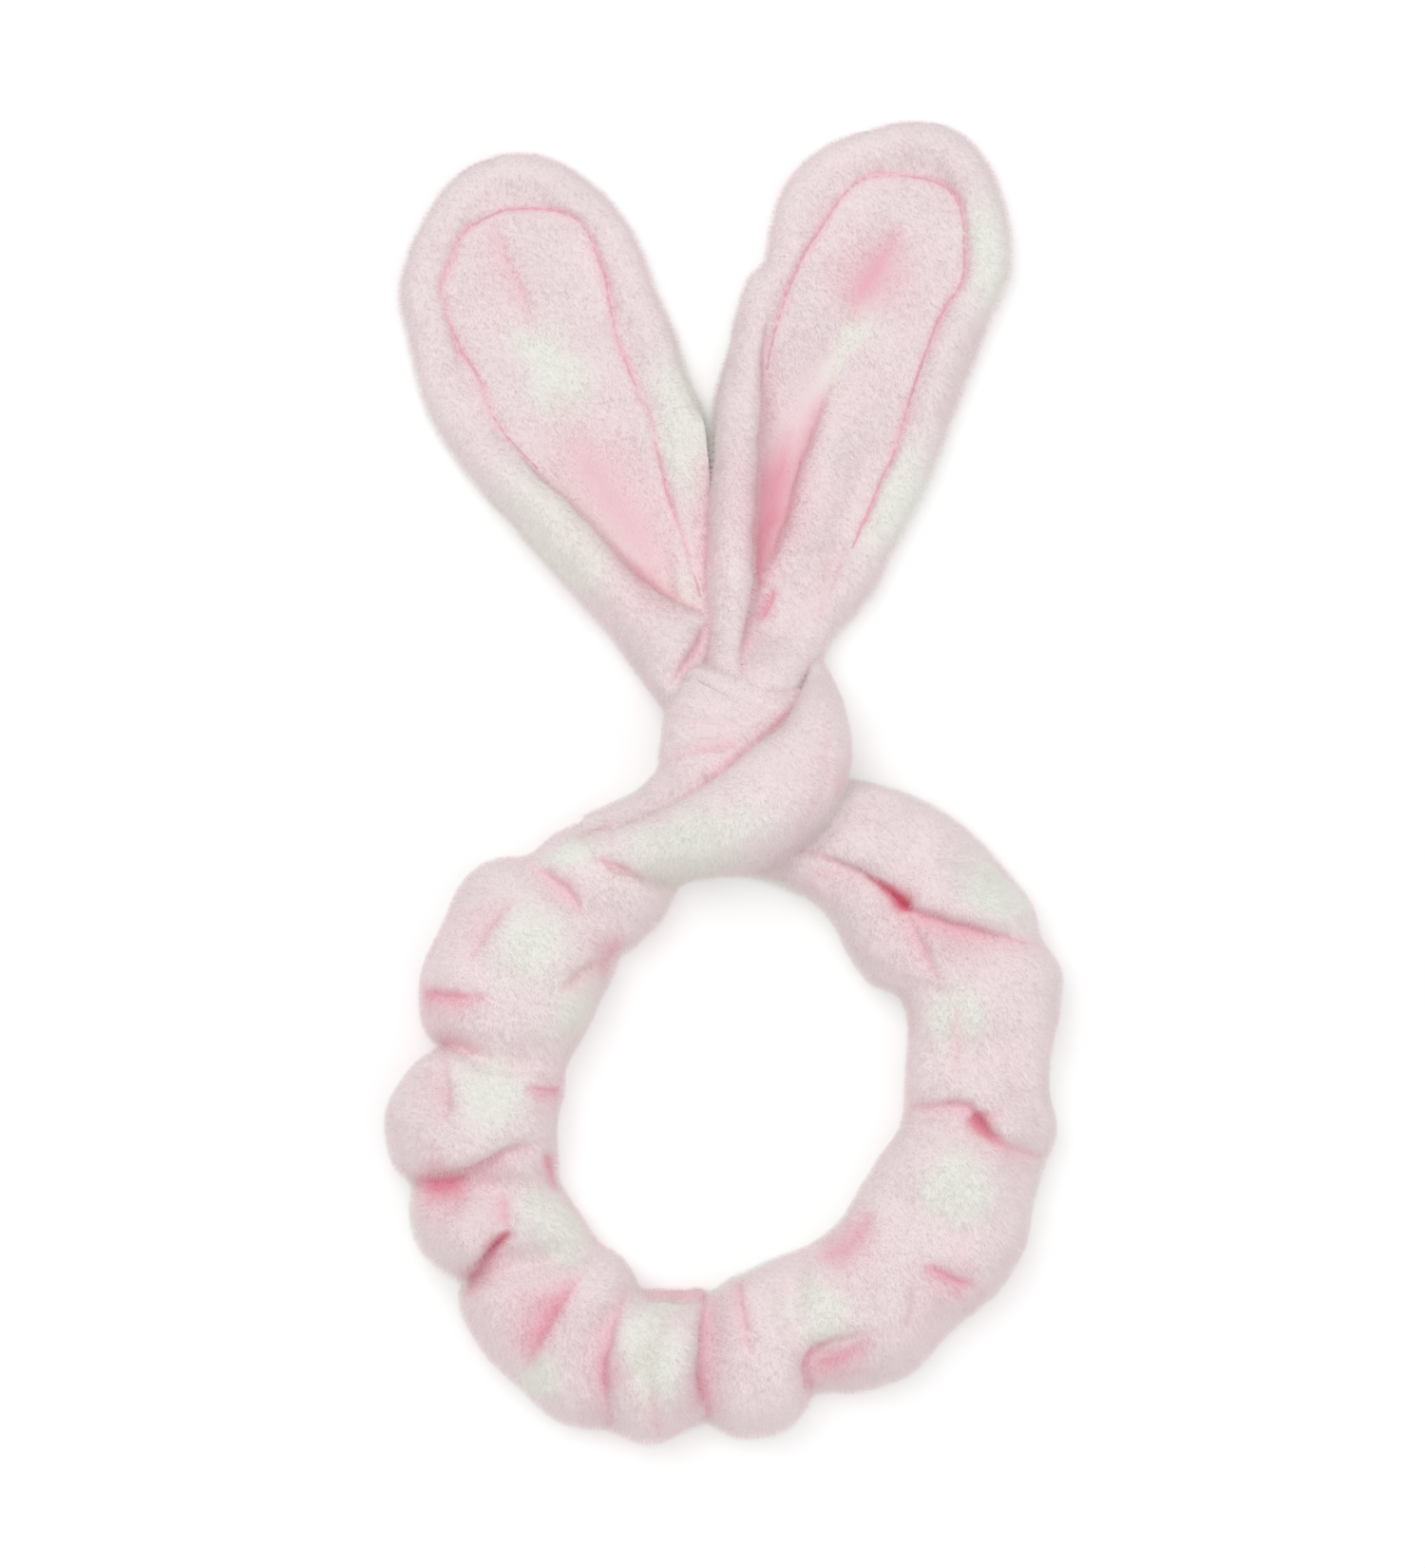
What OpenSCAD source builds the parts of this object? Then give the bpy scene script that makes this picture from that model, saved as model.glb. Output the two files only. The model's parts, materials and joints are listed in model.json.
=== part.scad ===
/* [Band] */
// Width of the soft band where it is fullest, seen from above
band_w = 45; // [36:1:46]
// Height of the soft band as it lies
band_h = 24; // [20:1:28]
// Thickness of the fleece with its pile
fleece_wall = 2.5; // [2:0.5:3.5]
// Depth of the gathers, as a share of the band's width
gather_depth = 0.045; // [0:0.005:0.06]
// Gathers between two neighbouring points of the band's line
gathers = 2; // [1:1:3]

/* [Elastic] */
// Height of the flat elastic inside the ruched band
elastic_w = 14; // [8:1:15]
// Thickness of the elastic
elastic_t = 1.4; // [1:0.2:2]

/* [Ears] */
// Thickness of one ear panel
panel_t = 2.2; // [1.6:0.2:2.4]
// Gap between the two panels, half of it on each side of the wire
channel = 1.3; // [1.2:0.1:1.4]
// Lift of the rims above the middle of the ear
cup = 1.5; // [0.5:0.5:3]
// Diameter of the rim wire
wire_d = 1.6; // [1:0.2:1.8]
// Diameter of the topstitch thread
thread_d = 1; // [0.6:0.2:1.2]

/* [Joint places] */
// Distance forward of the line where the ears bend up from the knot
raise_y = 126; // [125:1:127]
// Distance forward of the line where the ear tips fold
fold_y = 190; // [186:2:194]
// Clear space between two pieces that move apart
split_gap = 2; // [1:0.5:3]

/* [Hidden] */

fleece_pink = "#ebdcde";
fleece_cream = "#e4e5dc";
seam_pink = "#e396aa";
elastic_white = "#f2f2ee";
wire_grey = "#b9bcc0";
tape_white = "#e9e6dd";

section_sides = 16;
cord_sides = 8;
across_steps = 12;
lift_off = 0.4;

// The band's middle line from the knot's left side, round the back, to its right side.
// Each point is [x, y, share of the full width].
band_line = [
    [-14, 69, 0.62], [-29, 58, 0.78], [-43, 46, 0.88], [-57, 24, 1.00], [-68, -4, 1.00],
    [-65, -32, 0.96], [-54, -50, 0.93], [-37, -68, 0.92], [-18, -74, 0.91], [3, -71, 0.93],
    [26, -62, 0.91], [45, -50, 0.93], [59, -31, 0.93], [66, -4, 0.89], [67, 20, 0.91],
    [60, 40, 0.96], [42, 59, 0.90], [22, 69, 0.74]
];

// Places along the band's line, counted in its points.
left_tail_start = 0.45;
left_seam = 1.6;
back_start = 6;
back_end = 11.2;
right_seam = 13;
right_tail_end = 16.7;
seam_length = 0.06;
body_gap = 0.03;
puff_gap = 0.012;
puff_steps = 3;

// The outline of each ear as rows of [y, left edge, right edge].
left_ear_rows = [
    [124, -34, -9], [130, -40, -9], [145, -54, -8.5], [160, -68, -8], [175, -78, -8], [190, -84, -10],
    [205, -87, -16], [220, -88, -22], [232, -82, -28], [242, -75, -37], [248, -66, -46], [250, -60, -52]
];
right_ear_rows = [
    [124, -5, 31], [130, -5, 36], [145, -5, 44], [160, -5, 52], [175, -4, 58], [190, -2, 63],
    [205, 1, 69], [220, 7, 74.5], [232, 10.5, 74], [244, 16, 69], [252, 27, 64], [258, 44, 56]
];
left_neck_rows = [[112, -22, -12], [118, -27, -11], [124, -33, -9.5]];
right_neck_rows = [[112, 1, 15], [118, -3, 23], [124, -5, 30]];
neck_z_knot = 18;
neck_z_ear = 9.5;

// The wire's route round each ear: [x, y], up one side, round the tip, down the other.
left_wire_lower = [
    [[-32, 129], [-44, 141], [-59, 157], [-71, 173], [-78, 188]],
    [[-17, 188], [-13, 173], [-13, 150], [-14, 129]]
];
left_wire_tip = [
    [-79, 192], [-82, 206], [-82, 220], [-76, 233], [-67, 241], [-57, 244],
    [-47, 240], [-36, 231], [-28, 217], [-23, 205], [-18, 192]
];
right_wire_lower = [
    [[0, 129], [0, 145], [0, 160], [1, 175], [3, 188]],
    [[58, 188], [52, 173], [45, 157], [37, 143], [30, 129]]
];
right_wire_tip = [
    [4, 192], [8, 208], [13, 223], [18, 236], [28, 246], [42, 252],
    [56, 251], [65, 243], [69, 231], [68, 218], [63, 204], [59, 192]
];

// The topstitch, which runs about 12 mm inside the rim.
left_stitch_lower = [
    [[-47, 158], [-54, 167], [-63, 179], [-65, 188]],
    [[-26, 188], [-21, 178], [-17, 156], [-14, 142]]
];
left_stitch_tip = [
    [-66, 192], [-73, 200], [-77, 215], [-73, 226], [-62, 235], [-53, 237],
    [-46, 234], [-38, 226], [-32, 208], [-27, 192]
];
right_stitch_lower = [
    [[9, 170], [9, 180], [9, 188]],
    [[49, 188], [44, 172], [38, 156], [33, 145], [26, 130]]
];
right_stitch_tip = [
    [10, 192], [12, 205], [16, 217], [20, 225], [26, 235], [33, 243], [42, 247],
    [50, 246], [60, 238], [62, 231], [61, 217], [55, 208], [50, 192]
];

// The knot's strands: [x, y, z, half width, half thickness].
front_wrap_line = [
    [-15, 67, 13, 14, 9], [-11, 69, 18, 16, 9], [-2, 73, 27, 18, 7], [8, 79, 32, 19, 6],
    [18, 86, 30, 18, 6], [25, 90, 20, 16, 7], [29, 91, 11, 13, 7]
];
core_line = [[3, 106, 12, 18, 8], [3, 98, 15.5, 19, 8.5], [8, 86, 16, 17, 9], [15, 74, 15, 15, 9], [21, 67, 13, 13, 9]];
back_pass_line = [[26, 91, 4, 10, 3.4], [15, 90, 3.8, 13, 3.1], [4, 94, 3.8, 13, 3.1], [-4, 101, 4, 10, 3.2]];

// The twisted ends of each ear's wire run straight through their tape and out towards the ear.
stem_z = 5.6;
left_stem = [[-17.5, 114], [-17.5, 119.5], [-18.5, 123]];
right_stem = [[8, 114], [8, 119.5], [9, 123]];
stem_d = 2.6;
tape_d = 4.4;
tape_length = 5;
tape_clearance = 0.6;

back_seam_inset = 3;

function unit(v) = v / norm(v);
function bend(a, b, c, d, t) =
    0.5 * (2 * b + (c - a) * t + (2 * a - 5 * b + 4 * c - d) * t * t + (3 * b - a - 3 * c + d) * t * t * t);

// A smooth point on a line of points, u counted in points.
function on_line(line, u) =
    let (last = len(line) - 1, i = max(0, min(floor(u), last - 1)))
    bend(line[max(i - 1, 0)], line[i], line[i + 1], line[min(i + 2, last)], u - i);
function line_steps(count, steps) = [for (k = [0 : (count - 1) * steps]) k / steps];

function rounded(c) = sign(c) * pow(abs(c), 0.7);

// One ring of the soft band: flat underneath, full on top, drawn inset by one wall for the inside.
function band_ring(u, inset = 0) =
    let (
        c = on_line(band_line, u),
        ahead = on_line(band_line, u + 0.05) - on_line(band_line, u - 0.05),
        d = unit([ahead.x, ahead.y]),
        out = [d.y, -d.x],
        gathered = u > left_seam && u < right_seam,
        swell = gathered ? 1 - gather_depth * (1 - cos(360 * gathers * u)) : 1,
        half = band_w * c.z * swell / 2 - inset,
        h = band_h * swell - 2 * inset
    )
    [for (j = [0 : section_sides - 1])
        let (a = 360 * j / section_sides, x = half * rounded(cos(a)), z = max(0, h * (0.46 + 0.54 * rounded(sin(a)))))
        [c.x + out.x * x, c.y + out.y * x, inset + z]];

// One ring of an upright strip in the middle of the band.
function strip_ring(u, width, thick) =
    let (
        c = on_line(band_line, u),
        ahead = on_line(band_line, u + 0.05) - on_line(band_line, u - 0.05),
        d = unit([ahead.x, ahead.y]),
        out = [d.y, -d.x] * thick / 2,
        z = band_h / 2
    )
    [[c.x + out.x, c.y + out.y, z - width / 2], [c.x + out.x, c.y + out.y, z + width / 2],
     [c.x - out.x, c.y - out.y, z + width / 2], [c.x - out.x, c.y - out.y, z - width / 2]];

// One ring of a knot strand, an oval across its direction of travel.
function strand_ring(line, u) =
    let (
        p = on_line(line, u),
        ahead = on_line(line, min(u + 0.1, len(line) - 1)) - on_line(line, max(u - 0.1, 0)),
        d = unit([ahead.x, ahead.y, ahead.z]),
        side = unit(cross(d, [0, 0, 1])),
        up = cross(side, d)
    )
    [for (j = [0 : section_sides - 1])
        let (a = 360 * j / section_sides)
        [p.x, p.y, p.z] + side * p[3] * cos(a) + up * p[4] * sin(a)];

function circle_ring(p, d, radius) =
    let (side = unit(cross(d, [0, 0, 1])), up = cross(side, d))
    [for (j = [0 : cord_sides - 1])
        let (a = 360 * (j + 0.5) / cord_sides)
        p + side * radius * cos(a) + up * radius * sin(a)];

function side_faces(rings, m, first = 0) =
    [for (i = [0 : rings - 2], j = [0 : m - 1])
        let (k = (j + 1) % m, a = first + i * m + j, b = first + i * m + k, c = b + m, d = a + m)
        each [[a, b, c], [a, c, d]]];
function flipped(faces) = [for (f = faces) [f[0], f[2], f[1]]];

// A closed solid through a row of rings.
module loft(rings) {
    m = len(rings[0]);
    n = len(rings);
    polyhedron(
        points = [for (r = rings) each r],
        faces = concat(
            side_faces(n, m),
            [[for (j = [m - 1 : -1 : 0]) j], [for (j = [0 : m - 1]) (n - 1) * m + j]]
        )
    );
}

// A tube with a wall, open at both ends.
module sleeve(outer, inner) {
    m = len(outer[0]);
    n = len(outer);
    far = n * m;
    end = (n - 1) * m;
    polyhedron(
        points = concat([for (r = outer) each r], [for (r = inner) each r]),
        faces = concat(
            side_faces(n, m),
            flipped(side_faces(n, m, far)),
            [for (j = [0 : m - 1])
                let (k = (j + 1) % m)
                each [[j, far + j, far + k], [j, far + k, k]]],
            [for (j = [0 : m - 1])
                let (k = (j + 1) % m)
                each [[end + j, far + end + k, far + end + j], [end + j, end + k, far + end + k]]]
        )
    );
}

module band_piece(from, to, wall, steps) {
    places = [for (k = [0 : steps]) from + (to - from) * k / steps];
    sleeve([for (u = places) band_ring(u)], [for (u = places) band_ring(u, wall)]);
}

// A cover as a row of short tubes, one for each puff between two gathers, with a hair's gap between them.
module band_cover(from, to) {
    count = max(1, round((to - from) * gathers));
    step = (to - from) / count;
    for (k = [0 : count - 1]) {
        band_piece(from + k * step + (k > 0 ? puff_gap : 0), from + (k + 1) * step, fleece_wall, puff_steps);
    }
}

module elastic_piece(from, to) {
    count = ceil((to - from) * 4);
    loft([for (k = [0 : count]) strip_ring(from + (to - from) * k / count, elastic_w, elastic_t)]);
}

module strand(line, steps = 4) {
    loft([for (u = line_steps(len(line), steps)) strand_ring(line, u)]);
}

function edges(rows, y) = [lookup(y, [for (r = rows) [r[0], r[1]]]), lookup(y, [for (r = rows) [r[0], r[2]]])];

// Height of the ear's middle layer at a share t across, and half the gap between the panels there.
function layer_z(t) = lift_off + panel_t + channel + cup * t * t;
function half_gap(rows, y, t) =
    let (first = rows[0][0], last = rows[len(rows) - 1][0], v = (y - first) / (last - first))
    0.05 + (channel - 0.05) * (1 - pow(abs(t), 12)) * (1 - pow(max(v, 0), 40));
function share_across(rows, x, y) = let (e = edges(rows, y)) 2 * (x - e[0]) / (e[1] - e[0]) - 1;

// One cross-section of a panel: side is 1 for the front panel and -1 for the back one.
function panel_ring(rows, y, side) =
    let (e = edges(rows, y), mid = (e[0] + e[1]) / 2, half = (e[1] - e[0]) / 2)
    let (
        near = [for (k = [0 : across_steps])
            let (t = -1 + 2 * k / across_steps)
            [mid + t * half, y, layer_z(t) + side * half_gap(rows, y, t)]],
        far = [for (p = near) [p.x, p.y, p.z + side * panel_t]],
        top = side > 0 ? far : near,
        bottom = side > 0 ? near : far
    )
    concat(top, [for (k = [across_steps : -1 : 0]) bottom[k]]);

function row_places(from, to) =
    let (count = ceil((to - from) / 5))
    [for (k = [0 : count]) from + (to - from) * k / count];

module ear_panel(rows, side, from, to) {
    loft([for (y = row_places(from, to)) panel_ring(rows, y, side)]);
}

module ear_cord(rows, line, diameter, rise) {
    count = (len(line) - 1) * 3;
    points = [for (k = [0 : count])
        let (p = on_line(line, k / 3), t = share_across(rows, p.x, p.y))
        [p.x, p.y, layer_z(t) + rise]];
    loft([for (k = [0 : count])
        circle_ring(points[k], unit(points[min(k + 1, count)] - points[max(k - 1, 0)]), diameter / 2)]);
}

module ear_cords(rows, lines, diameter, rise) {
    for (line = lines) {
        ear_cord(rows, line, diameter, rise);
    }
}

// The gathered neck between the knot and an ear: an oval that flattens towards the ear.
module neck(rows) {
    first = rows[0][0];
    last = rows[len(rows) - 1][0];
    steps = 6;
    places = [for (k = [0 : steps]) first + (last - first) * k / steps];
    function oval(y, inset) =
        let (
            e = edges(rows, y),
            z = neck_z_knot + (neck_z_ear - neck_z_knot) * (y - first) / (last - first),
            mid = (e[0] + e[1]) / 2,
            half = (e[1] - e[0]) / 2 - inset,
            rise = (z - lift_off) / 2 - inset
        )
        [for (j = [0 : section_sides - 1])
            let (a = -360 * j / section_sides)
            [mid + half * rounded(cos(a)), y, (z + lift_off) / 2 + rise * rounded(sin(a))]];
    sleeve([for (y = places) oval(y, 0)], [for (y = places) oval(y, fleece_wall)]);
}

module stem(line) {
    loft([for (k = [0 : len(line) - 1])
        circle_ring(
            [line[k].x, line[k].y, stem_z],
            unit(concat(line[min(k + 1, len(line) - 1)] - line[max(k - 1, 0)], 0)),
            stem_d / 2
        )]);
}

module end_tape(at) {
    translate([at.x, at.y, stem_z]) rotate([-90, 0, 0])
        difference() {
            cylinder(d = tape_d, h = tape_length, $fn = 24);
            translate([0, 0, -1]) cylinder(d = stem_d + tape_clearance, h = tape_length + 2, $fn = 24);
        }
}

module left_tail_cover() { color(fleece_pink) band_cover(left_tail_start, left_seam - seam_length); }
module right_tail_cover() { color(fleece_pink) band_cover(right_seam + seam_length, right_tail_end); }
module knot_front_wrap() { color(fleece_pink) strand(front_wrap_line); }
module knot_core_strand() { color(fleece_cream) strand(core_line); }
module knot_back_pass() { color(fleece_pink) strand(back_pass_line); }
module left_joint_seam() { color(seam_pink) band_piece(left_seam - seam_length, left_seam, 1.2, 1); }
module right_joint_seam() { color(seam_pink) band_piece(right_seam, right_seam + seam_length, 1.2, 1); }
module left_side_cover() { color(fleece_cream) band_cover(left_seam, back_start - body_gap); }
module right_side_cover() { color(fleece_cream) band_cover(back_end + body_gap, right_seam); }
module left_side_elastic() { color(elastic_white) elastic_piece(left_seam, back_start - body_gap); }
module right_side_elastic() { color(elastic_white) elastic_piece(back_end + body_gap, right_seam); }
module back_cover() { color(fleece_pink) band_cover(back_start, back_end); }
module back_elastic() { color(elastic_white) elastic_piece(back_start, back_end); }
// A row of stitches that closes the cover, inside it on the side of the head.
module back_closing_seam() {
    color(seam_pink) {
        count = 20;
        loft([for (k = [0 : count])
            let (
                u = back_start + 0.1 + (back_end - back_start - 0.2) * k / count,
                c = on_line(band_line, u),
                ahead = on_line(band_line, u + 0.05) - on_line(band_line, u - 0.05),
                d = unit([ahead.x, ahead.y]),
                inward = band_w * c.z * (1 - 2 * gather_depth) / 2 - fleece_wall - back_seam_inset
            )
            circle_ring([c.x - d.y * inward, c.y + d.x * inward, band_h / 2], [d.x, d.y, 0], thread_d / 2)]);
    }
}

lower_start = raise_y + split_gap;
lower_end = fold_y - split_gap;
tip_start = fold_y + split_gap;
function tip_end(rows) = rows[len(rows) - 1][0];
stitch_rise = channel + panel_t + thread_d / 2 + 0.1;

module left_neck_cover() { color(fleece_pink) neck(left_neck_rows); }
module left_wire_stem() { color(wire_grey) stem(left_stem); }
module left_wire_end_tape() { color(tape_white) end_tape(left_stem[0]); }
module left_ear_front_lower() { color(fleece_pink) ear_panel(left_ear_rows, 1, lower_start, lower_end); }
module left_ear_back_lower() { color(fleece_cream) ear_panel(left_ear_rows, -1, lower_start, lower_end); }
module left_ear_wire_lower() { color(wire_grey) ear_cords(left_ear_rows, left_wire_lower, wire_d, 0); }
module left_ear_topstitch_lower() {
    color(seam_pink) ear_cords(left_ear_rows, left_stitch_lower, thread_d, stitch_rise);
}
module left_ear_front_tip() { color(fleece_pink) ear_panel(left_ear_rows, 1, tip_start, tip_end(left_ear_rows)); }
module left_ear_back_tip() { color(fleece_cream) ear_panel(left_ear_rows, -1, tip_start, tip_end(left_ear_rows)); }
module left_ear_wire_tip() { color(wire_grey) ear_cord(left_ear_rows, left_wire_tip, wire_d, 0); }
module left_ear_topstitch_tip() { color(seam_pink) ear_cord(left_ear_rows, left_stitch_tip, thread_d, stitch_rise); }

module right_neck_cover() { color(fleece_pink) neck(right_neck_rows); }
module right_wire_stem() { color(wire_grey) stem(right_stem); }
module right_wire_end_tape() { color(tape_white) end_tape(right_stem[0]); }
module right_ear_front_lower() { color(fleece_pink) ear_panel(right_ear_rows, 1, lower_start, lower_end); }
module right_ear_back_lower() { color(fleece_cream) ear_panel(right_ear_rows, -1, lower_start, lower_end); }
module right_ear_wire_lower() { color(wire_grey) ear_cords(right_ear_rows, right_wire_lower, wire_d, 0); }
module right_ear_topstitch_lower() {
    color(seam_pink) ear_cords(right_ear_rows, right_stitch_lower, thread_d, stitch_rise);
}
module right_ear_front_tip() { color(fleece_pink) ear_panel(right_ear_rows, 1, tip_start, tip_end(right_ear_rows)); }
module right_ear_back_tip() { color(fleece_cream) ear_panel(right_ear_rows, -1, tip_start, tip_end(right_ear_rows)); }
module right_ear_wire_tip() { color(wire_grey) ear_cord(right_ear_rows, right_wire_tip, wire_d, 0); }
module right_ear_topstitch_tip() { color(seam_pink) ear_cord(right_ear_rows, right_stitch_tip, thread_d, stitch_rise); }

left_tail_cover();
right_tail_cover();
knot_front_wrap();
knot_core_strand();
knot_back_pass();
left_joint_seam();
right_joint_seam();
left_side_cover();
right_side_cover();
left_side_elastic();
right_side_elastic();
back_cover();
back_elastic();
back_closing_seam();
left_neck_cover();
left_wire_stem();
left_wire_end_tape();
left_ear_front_lower();
left_ear_back_lower();
left_ear_wire_lower();
left_ear_topstitch_lower();
left_ear_front_tip();
left_ear_back_tip();
left_ear_wire_tip();
left_ear_topstitch_tip();
right_neck_cover();
right_wire_stem();
right_wire_end_tape();
right_ear_front_lower();
right_ear_back_lower();
right_ear_wire_lower();
right_ear_topstitch_lower();
right_ear_front_tip();
right_ear_back_tip();
right_ear_wire_tip();
right_ear_topstitch_tip();
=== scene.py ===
"""Looks of the plush headband with wired rabbit ears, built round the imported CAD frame."""
import itertools
import json
import math

import bpy
import numpy as np
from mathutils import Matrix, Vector
from mathutils.bvhtree import BVHTree


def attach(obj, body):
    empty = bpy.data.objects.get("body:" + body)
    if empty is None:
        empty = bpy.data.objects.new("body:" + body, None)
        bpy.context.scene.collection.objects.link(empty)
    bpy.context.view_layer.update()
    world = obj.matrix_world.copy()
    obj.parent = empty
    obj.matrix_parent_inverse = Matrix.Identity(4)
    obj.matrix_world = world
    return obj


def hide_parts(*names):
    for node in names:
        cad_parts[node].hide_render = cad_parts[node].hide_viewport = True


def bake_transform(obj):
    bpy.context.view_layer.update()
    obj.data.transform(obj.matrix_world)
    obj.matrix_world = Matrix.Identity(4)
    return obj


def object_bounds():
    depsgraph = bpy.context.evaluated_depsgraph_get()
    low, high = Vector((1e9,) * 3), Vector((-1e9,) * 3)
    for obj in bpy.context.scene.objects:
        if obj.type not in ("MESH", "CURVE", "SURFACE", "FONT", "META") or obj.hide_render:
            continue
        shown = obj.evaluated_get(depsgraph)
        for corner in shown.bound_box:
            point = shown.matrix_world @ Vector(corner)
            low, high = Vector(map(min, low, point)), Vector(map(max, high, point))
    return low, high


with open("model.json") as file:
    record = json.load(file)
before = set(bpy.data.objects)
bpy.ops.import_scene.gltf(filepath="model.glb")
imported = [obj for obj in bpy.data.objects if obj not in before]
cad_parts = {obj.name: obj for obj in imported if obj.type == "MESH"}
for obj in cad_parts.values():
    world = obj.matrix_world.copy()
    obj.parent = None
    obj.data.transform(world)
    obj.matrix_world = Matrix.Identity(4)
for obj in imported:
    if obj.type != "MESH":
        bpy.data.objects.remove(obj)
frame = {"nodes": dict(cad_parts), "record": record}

CAD_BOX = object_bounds()
# Lengths below are in mm of the design, which is this wide.
DESIGN_WIDTH = 178.1
MM = (CAD_BOX[1].x - CAD_BOX[0].x) / DESIGN_WIDTH

# Cloth simulation: grid points to a cloth point, frames, and how often the movement is averaged.
CLOTH_STEP = 4
CLOTH_FRAMES = 18
CLOTH_SMOOTHING = 3
# For each piece: its pressure, the share of spare length that makes it ruffle, and the furthest that a
# point may move.
BAND_CLOTH = (1.5, 0.03, 2.2)
EAR_CLOTH = (1.0, 0.01, 0.8)

# The pile and the swelling make the band this much wider on each side than its woven skin at the start.
PILE_ROOM = 1.3

# Spacing of the grids along the band, the ears and the knot's strands.
BAND_SPACING = 0.8
EAR_SPACING = 0.75
STRAND_SPACING = 0.8

# No fleece goes below this height, so that it lies on the floor.
LOWEST = 0.15

# Unevenness of the plush: height and size of its soft swells, and of its combed streaks.
SWELLS = (0.3, 13)
STREAKS = (0.08, 2.6)

# Lengths round the band and round a strand, which set the size of the streaks in their pile.
BAND_GIRTH = 115
STRAND_GIRTH = 80

# The fleece of each ear is in three parts, neck, lower and tip, which meet at these heights. Its thread and
# its rim wire are in two parts, which meet at the second height.
NECK_SPLIT = 114
TIP_SPLIT = 158

# The longest pile. The share of it on open fleece, and what is added on the overhanging side of a crease.
PILE_LENGTH = 3.2
OPEN_PILE = 0.62
FRINGE_PILE = 0.38
# How the strands lean, and how far each goes its own way, as shares of their length.
PILE_LEAN = (0, -0.32, 0)
PILE_MESS = 0.14
# Strands to a square millimetre.
PILE_DENSITY = 5

# A fold whose red painted shadow is stronger than this is a slit: narrow at its start, and widest near its
# end.
SLIT_REDNESS = 0.5

# The elastic runs between these stations of the band, at this height.
ELASTIC_STATIONS = (3.4, 36)
ELASTIC_LEVEL = 12.0

# Rim wire: distance in from the ear's outline, height, radius, and where its legs start.
WIRE_INSET = 6.2
WIRE_LEVEL = 5.0
WIRE_RADIUS = 1.05
WIRE_START = 122

# Sewing thread: lowest point, spacing of its points, stitch length, radius, and sides of its section.
THREAD_START = 116
THREAD_SPACING = 0.4
STITCH_LENGTH = 3.4
THREAD_RADIUS = 0.3
THREAD_SIDES = 6

# ---------------------------------------- shapes of the soft pieces

# The band, in stations from the knot's left side round the back to its right side.
# Each row: outer edge x, y, inner edge x, y, height.
BAND = [
    (-17, 82.5, -9.5, 57.5, 20), (-27, 78.5, -14.5, 54, 20), (-38.5, 73.2, -19.8, 45.6, 21),
    (-47, 69.2, -23.2, 42, 21), (-55, 63.4, -27.2, 38, 21), (-64.6, 61.4, -30.4, 35.8, 23),
    (-71.4, 56, -32, 31, 25), (-76.4, 46, -34, 26.2, 26), (-82.4, 32, -36.6, 21, 26),
    (-82.6, 19, -40, 14.8, 25), (-78.4, 10.8, -44.6, 5.4, 22), (-85.4, 6, -45, 1, 24),
    (-91.6, -4, -46, -6, 26), (-92.2, -12, -46.5, -14, 26), (-89.6, -20, -46.6, -20, 24),
    (-86, -24.5, -46, -25, 21), (-86, -33, -42.5, -31, 24), (-83, -41.6, -39, -36.5, 24),
    (-73.2, -48.8, -35.4, -41.4, 21), (-73, -57, -30, -45, 24), (-66.5, -68.5, -27, -48.6, 25),
    (-57.5, -78.5, -24.5, -53.6, 24), (-46, -87.6, -20, -56.4, 24), (-33, -90.4, -16, -57, 22),
    (-21, -93.6, -12, -57, 25), (-8, -88.7, -6, -54.5, 21), (2, -92.4, 0, -50.5, 25),
    (14, -90.2, 7, -47.2, 24), (21.6, -81.6, 14, -44, 21), (35, -79.8, 20, -41.6, 24),
    (48, -75, 25.6, -38, 25), (57.2, -66, 30.4, -32.6, 25), (69, -56, 34.8, -25.4, 25),
    (77, -43.4, 39, -18.4, 25), (80, -31.2, 43, -12.4, 25), (84, -19, 45.6, -6.8, 22),
    (86.9, -9.5, 46.8, -2, 22), (85.6, 1, 47, 5, 22), (86, 12, 47.2, 12, 22), (87.4, 22, 46.8, 19, 23),
    (88, 32, 43.8, 26.4, 23), (83, 41, 36, 30.5, 22), (79.6, 50.5, 30.8, 38, 23),
    (71.5, 62, 26, 46, 23), (62.7, 70, 20.5, 51.6, 22), (54.6, 75.6, 14, 54.4, 22),
    (44.6, 80.2, 8, 56.4, 21), (34, 82.6, 2, 57.8, 21), (24, 82.6, -3, 58, 19),
]

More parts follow.
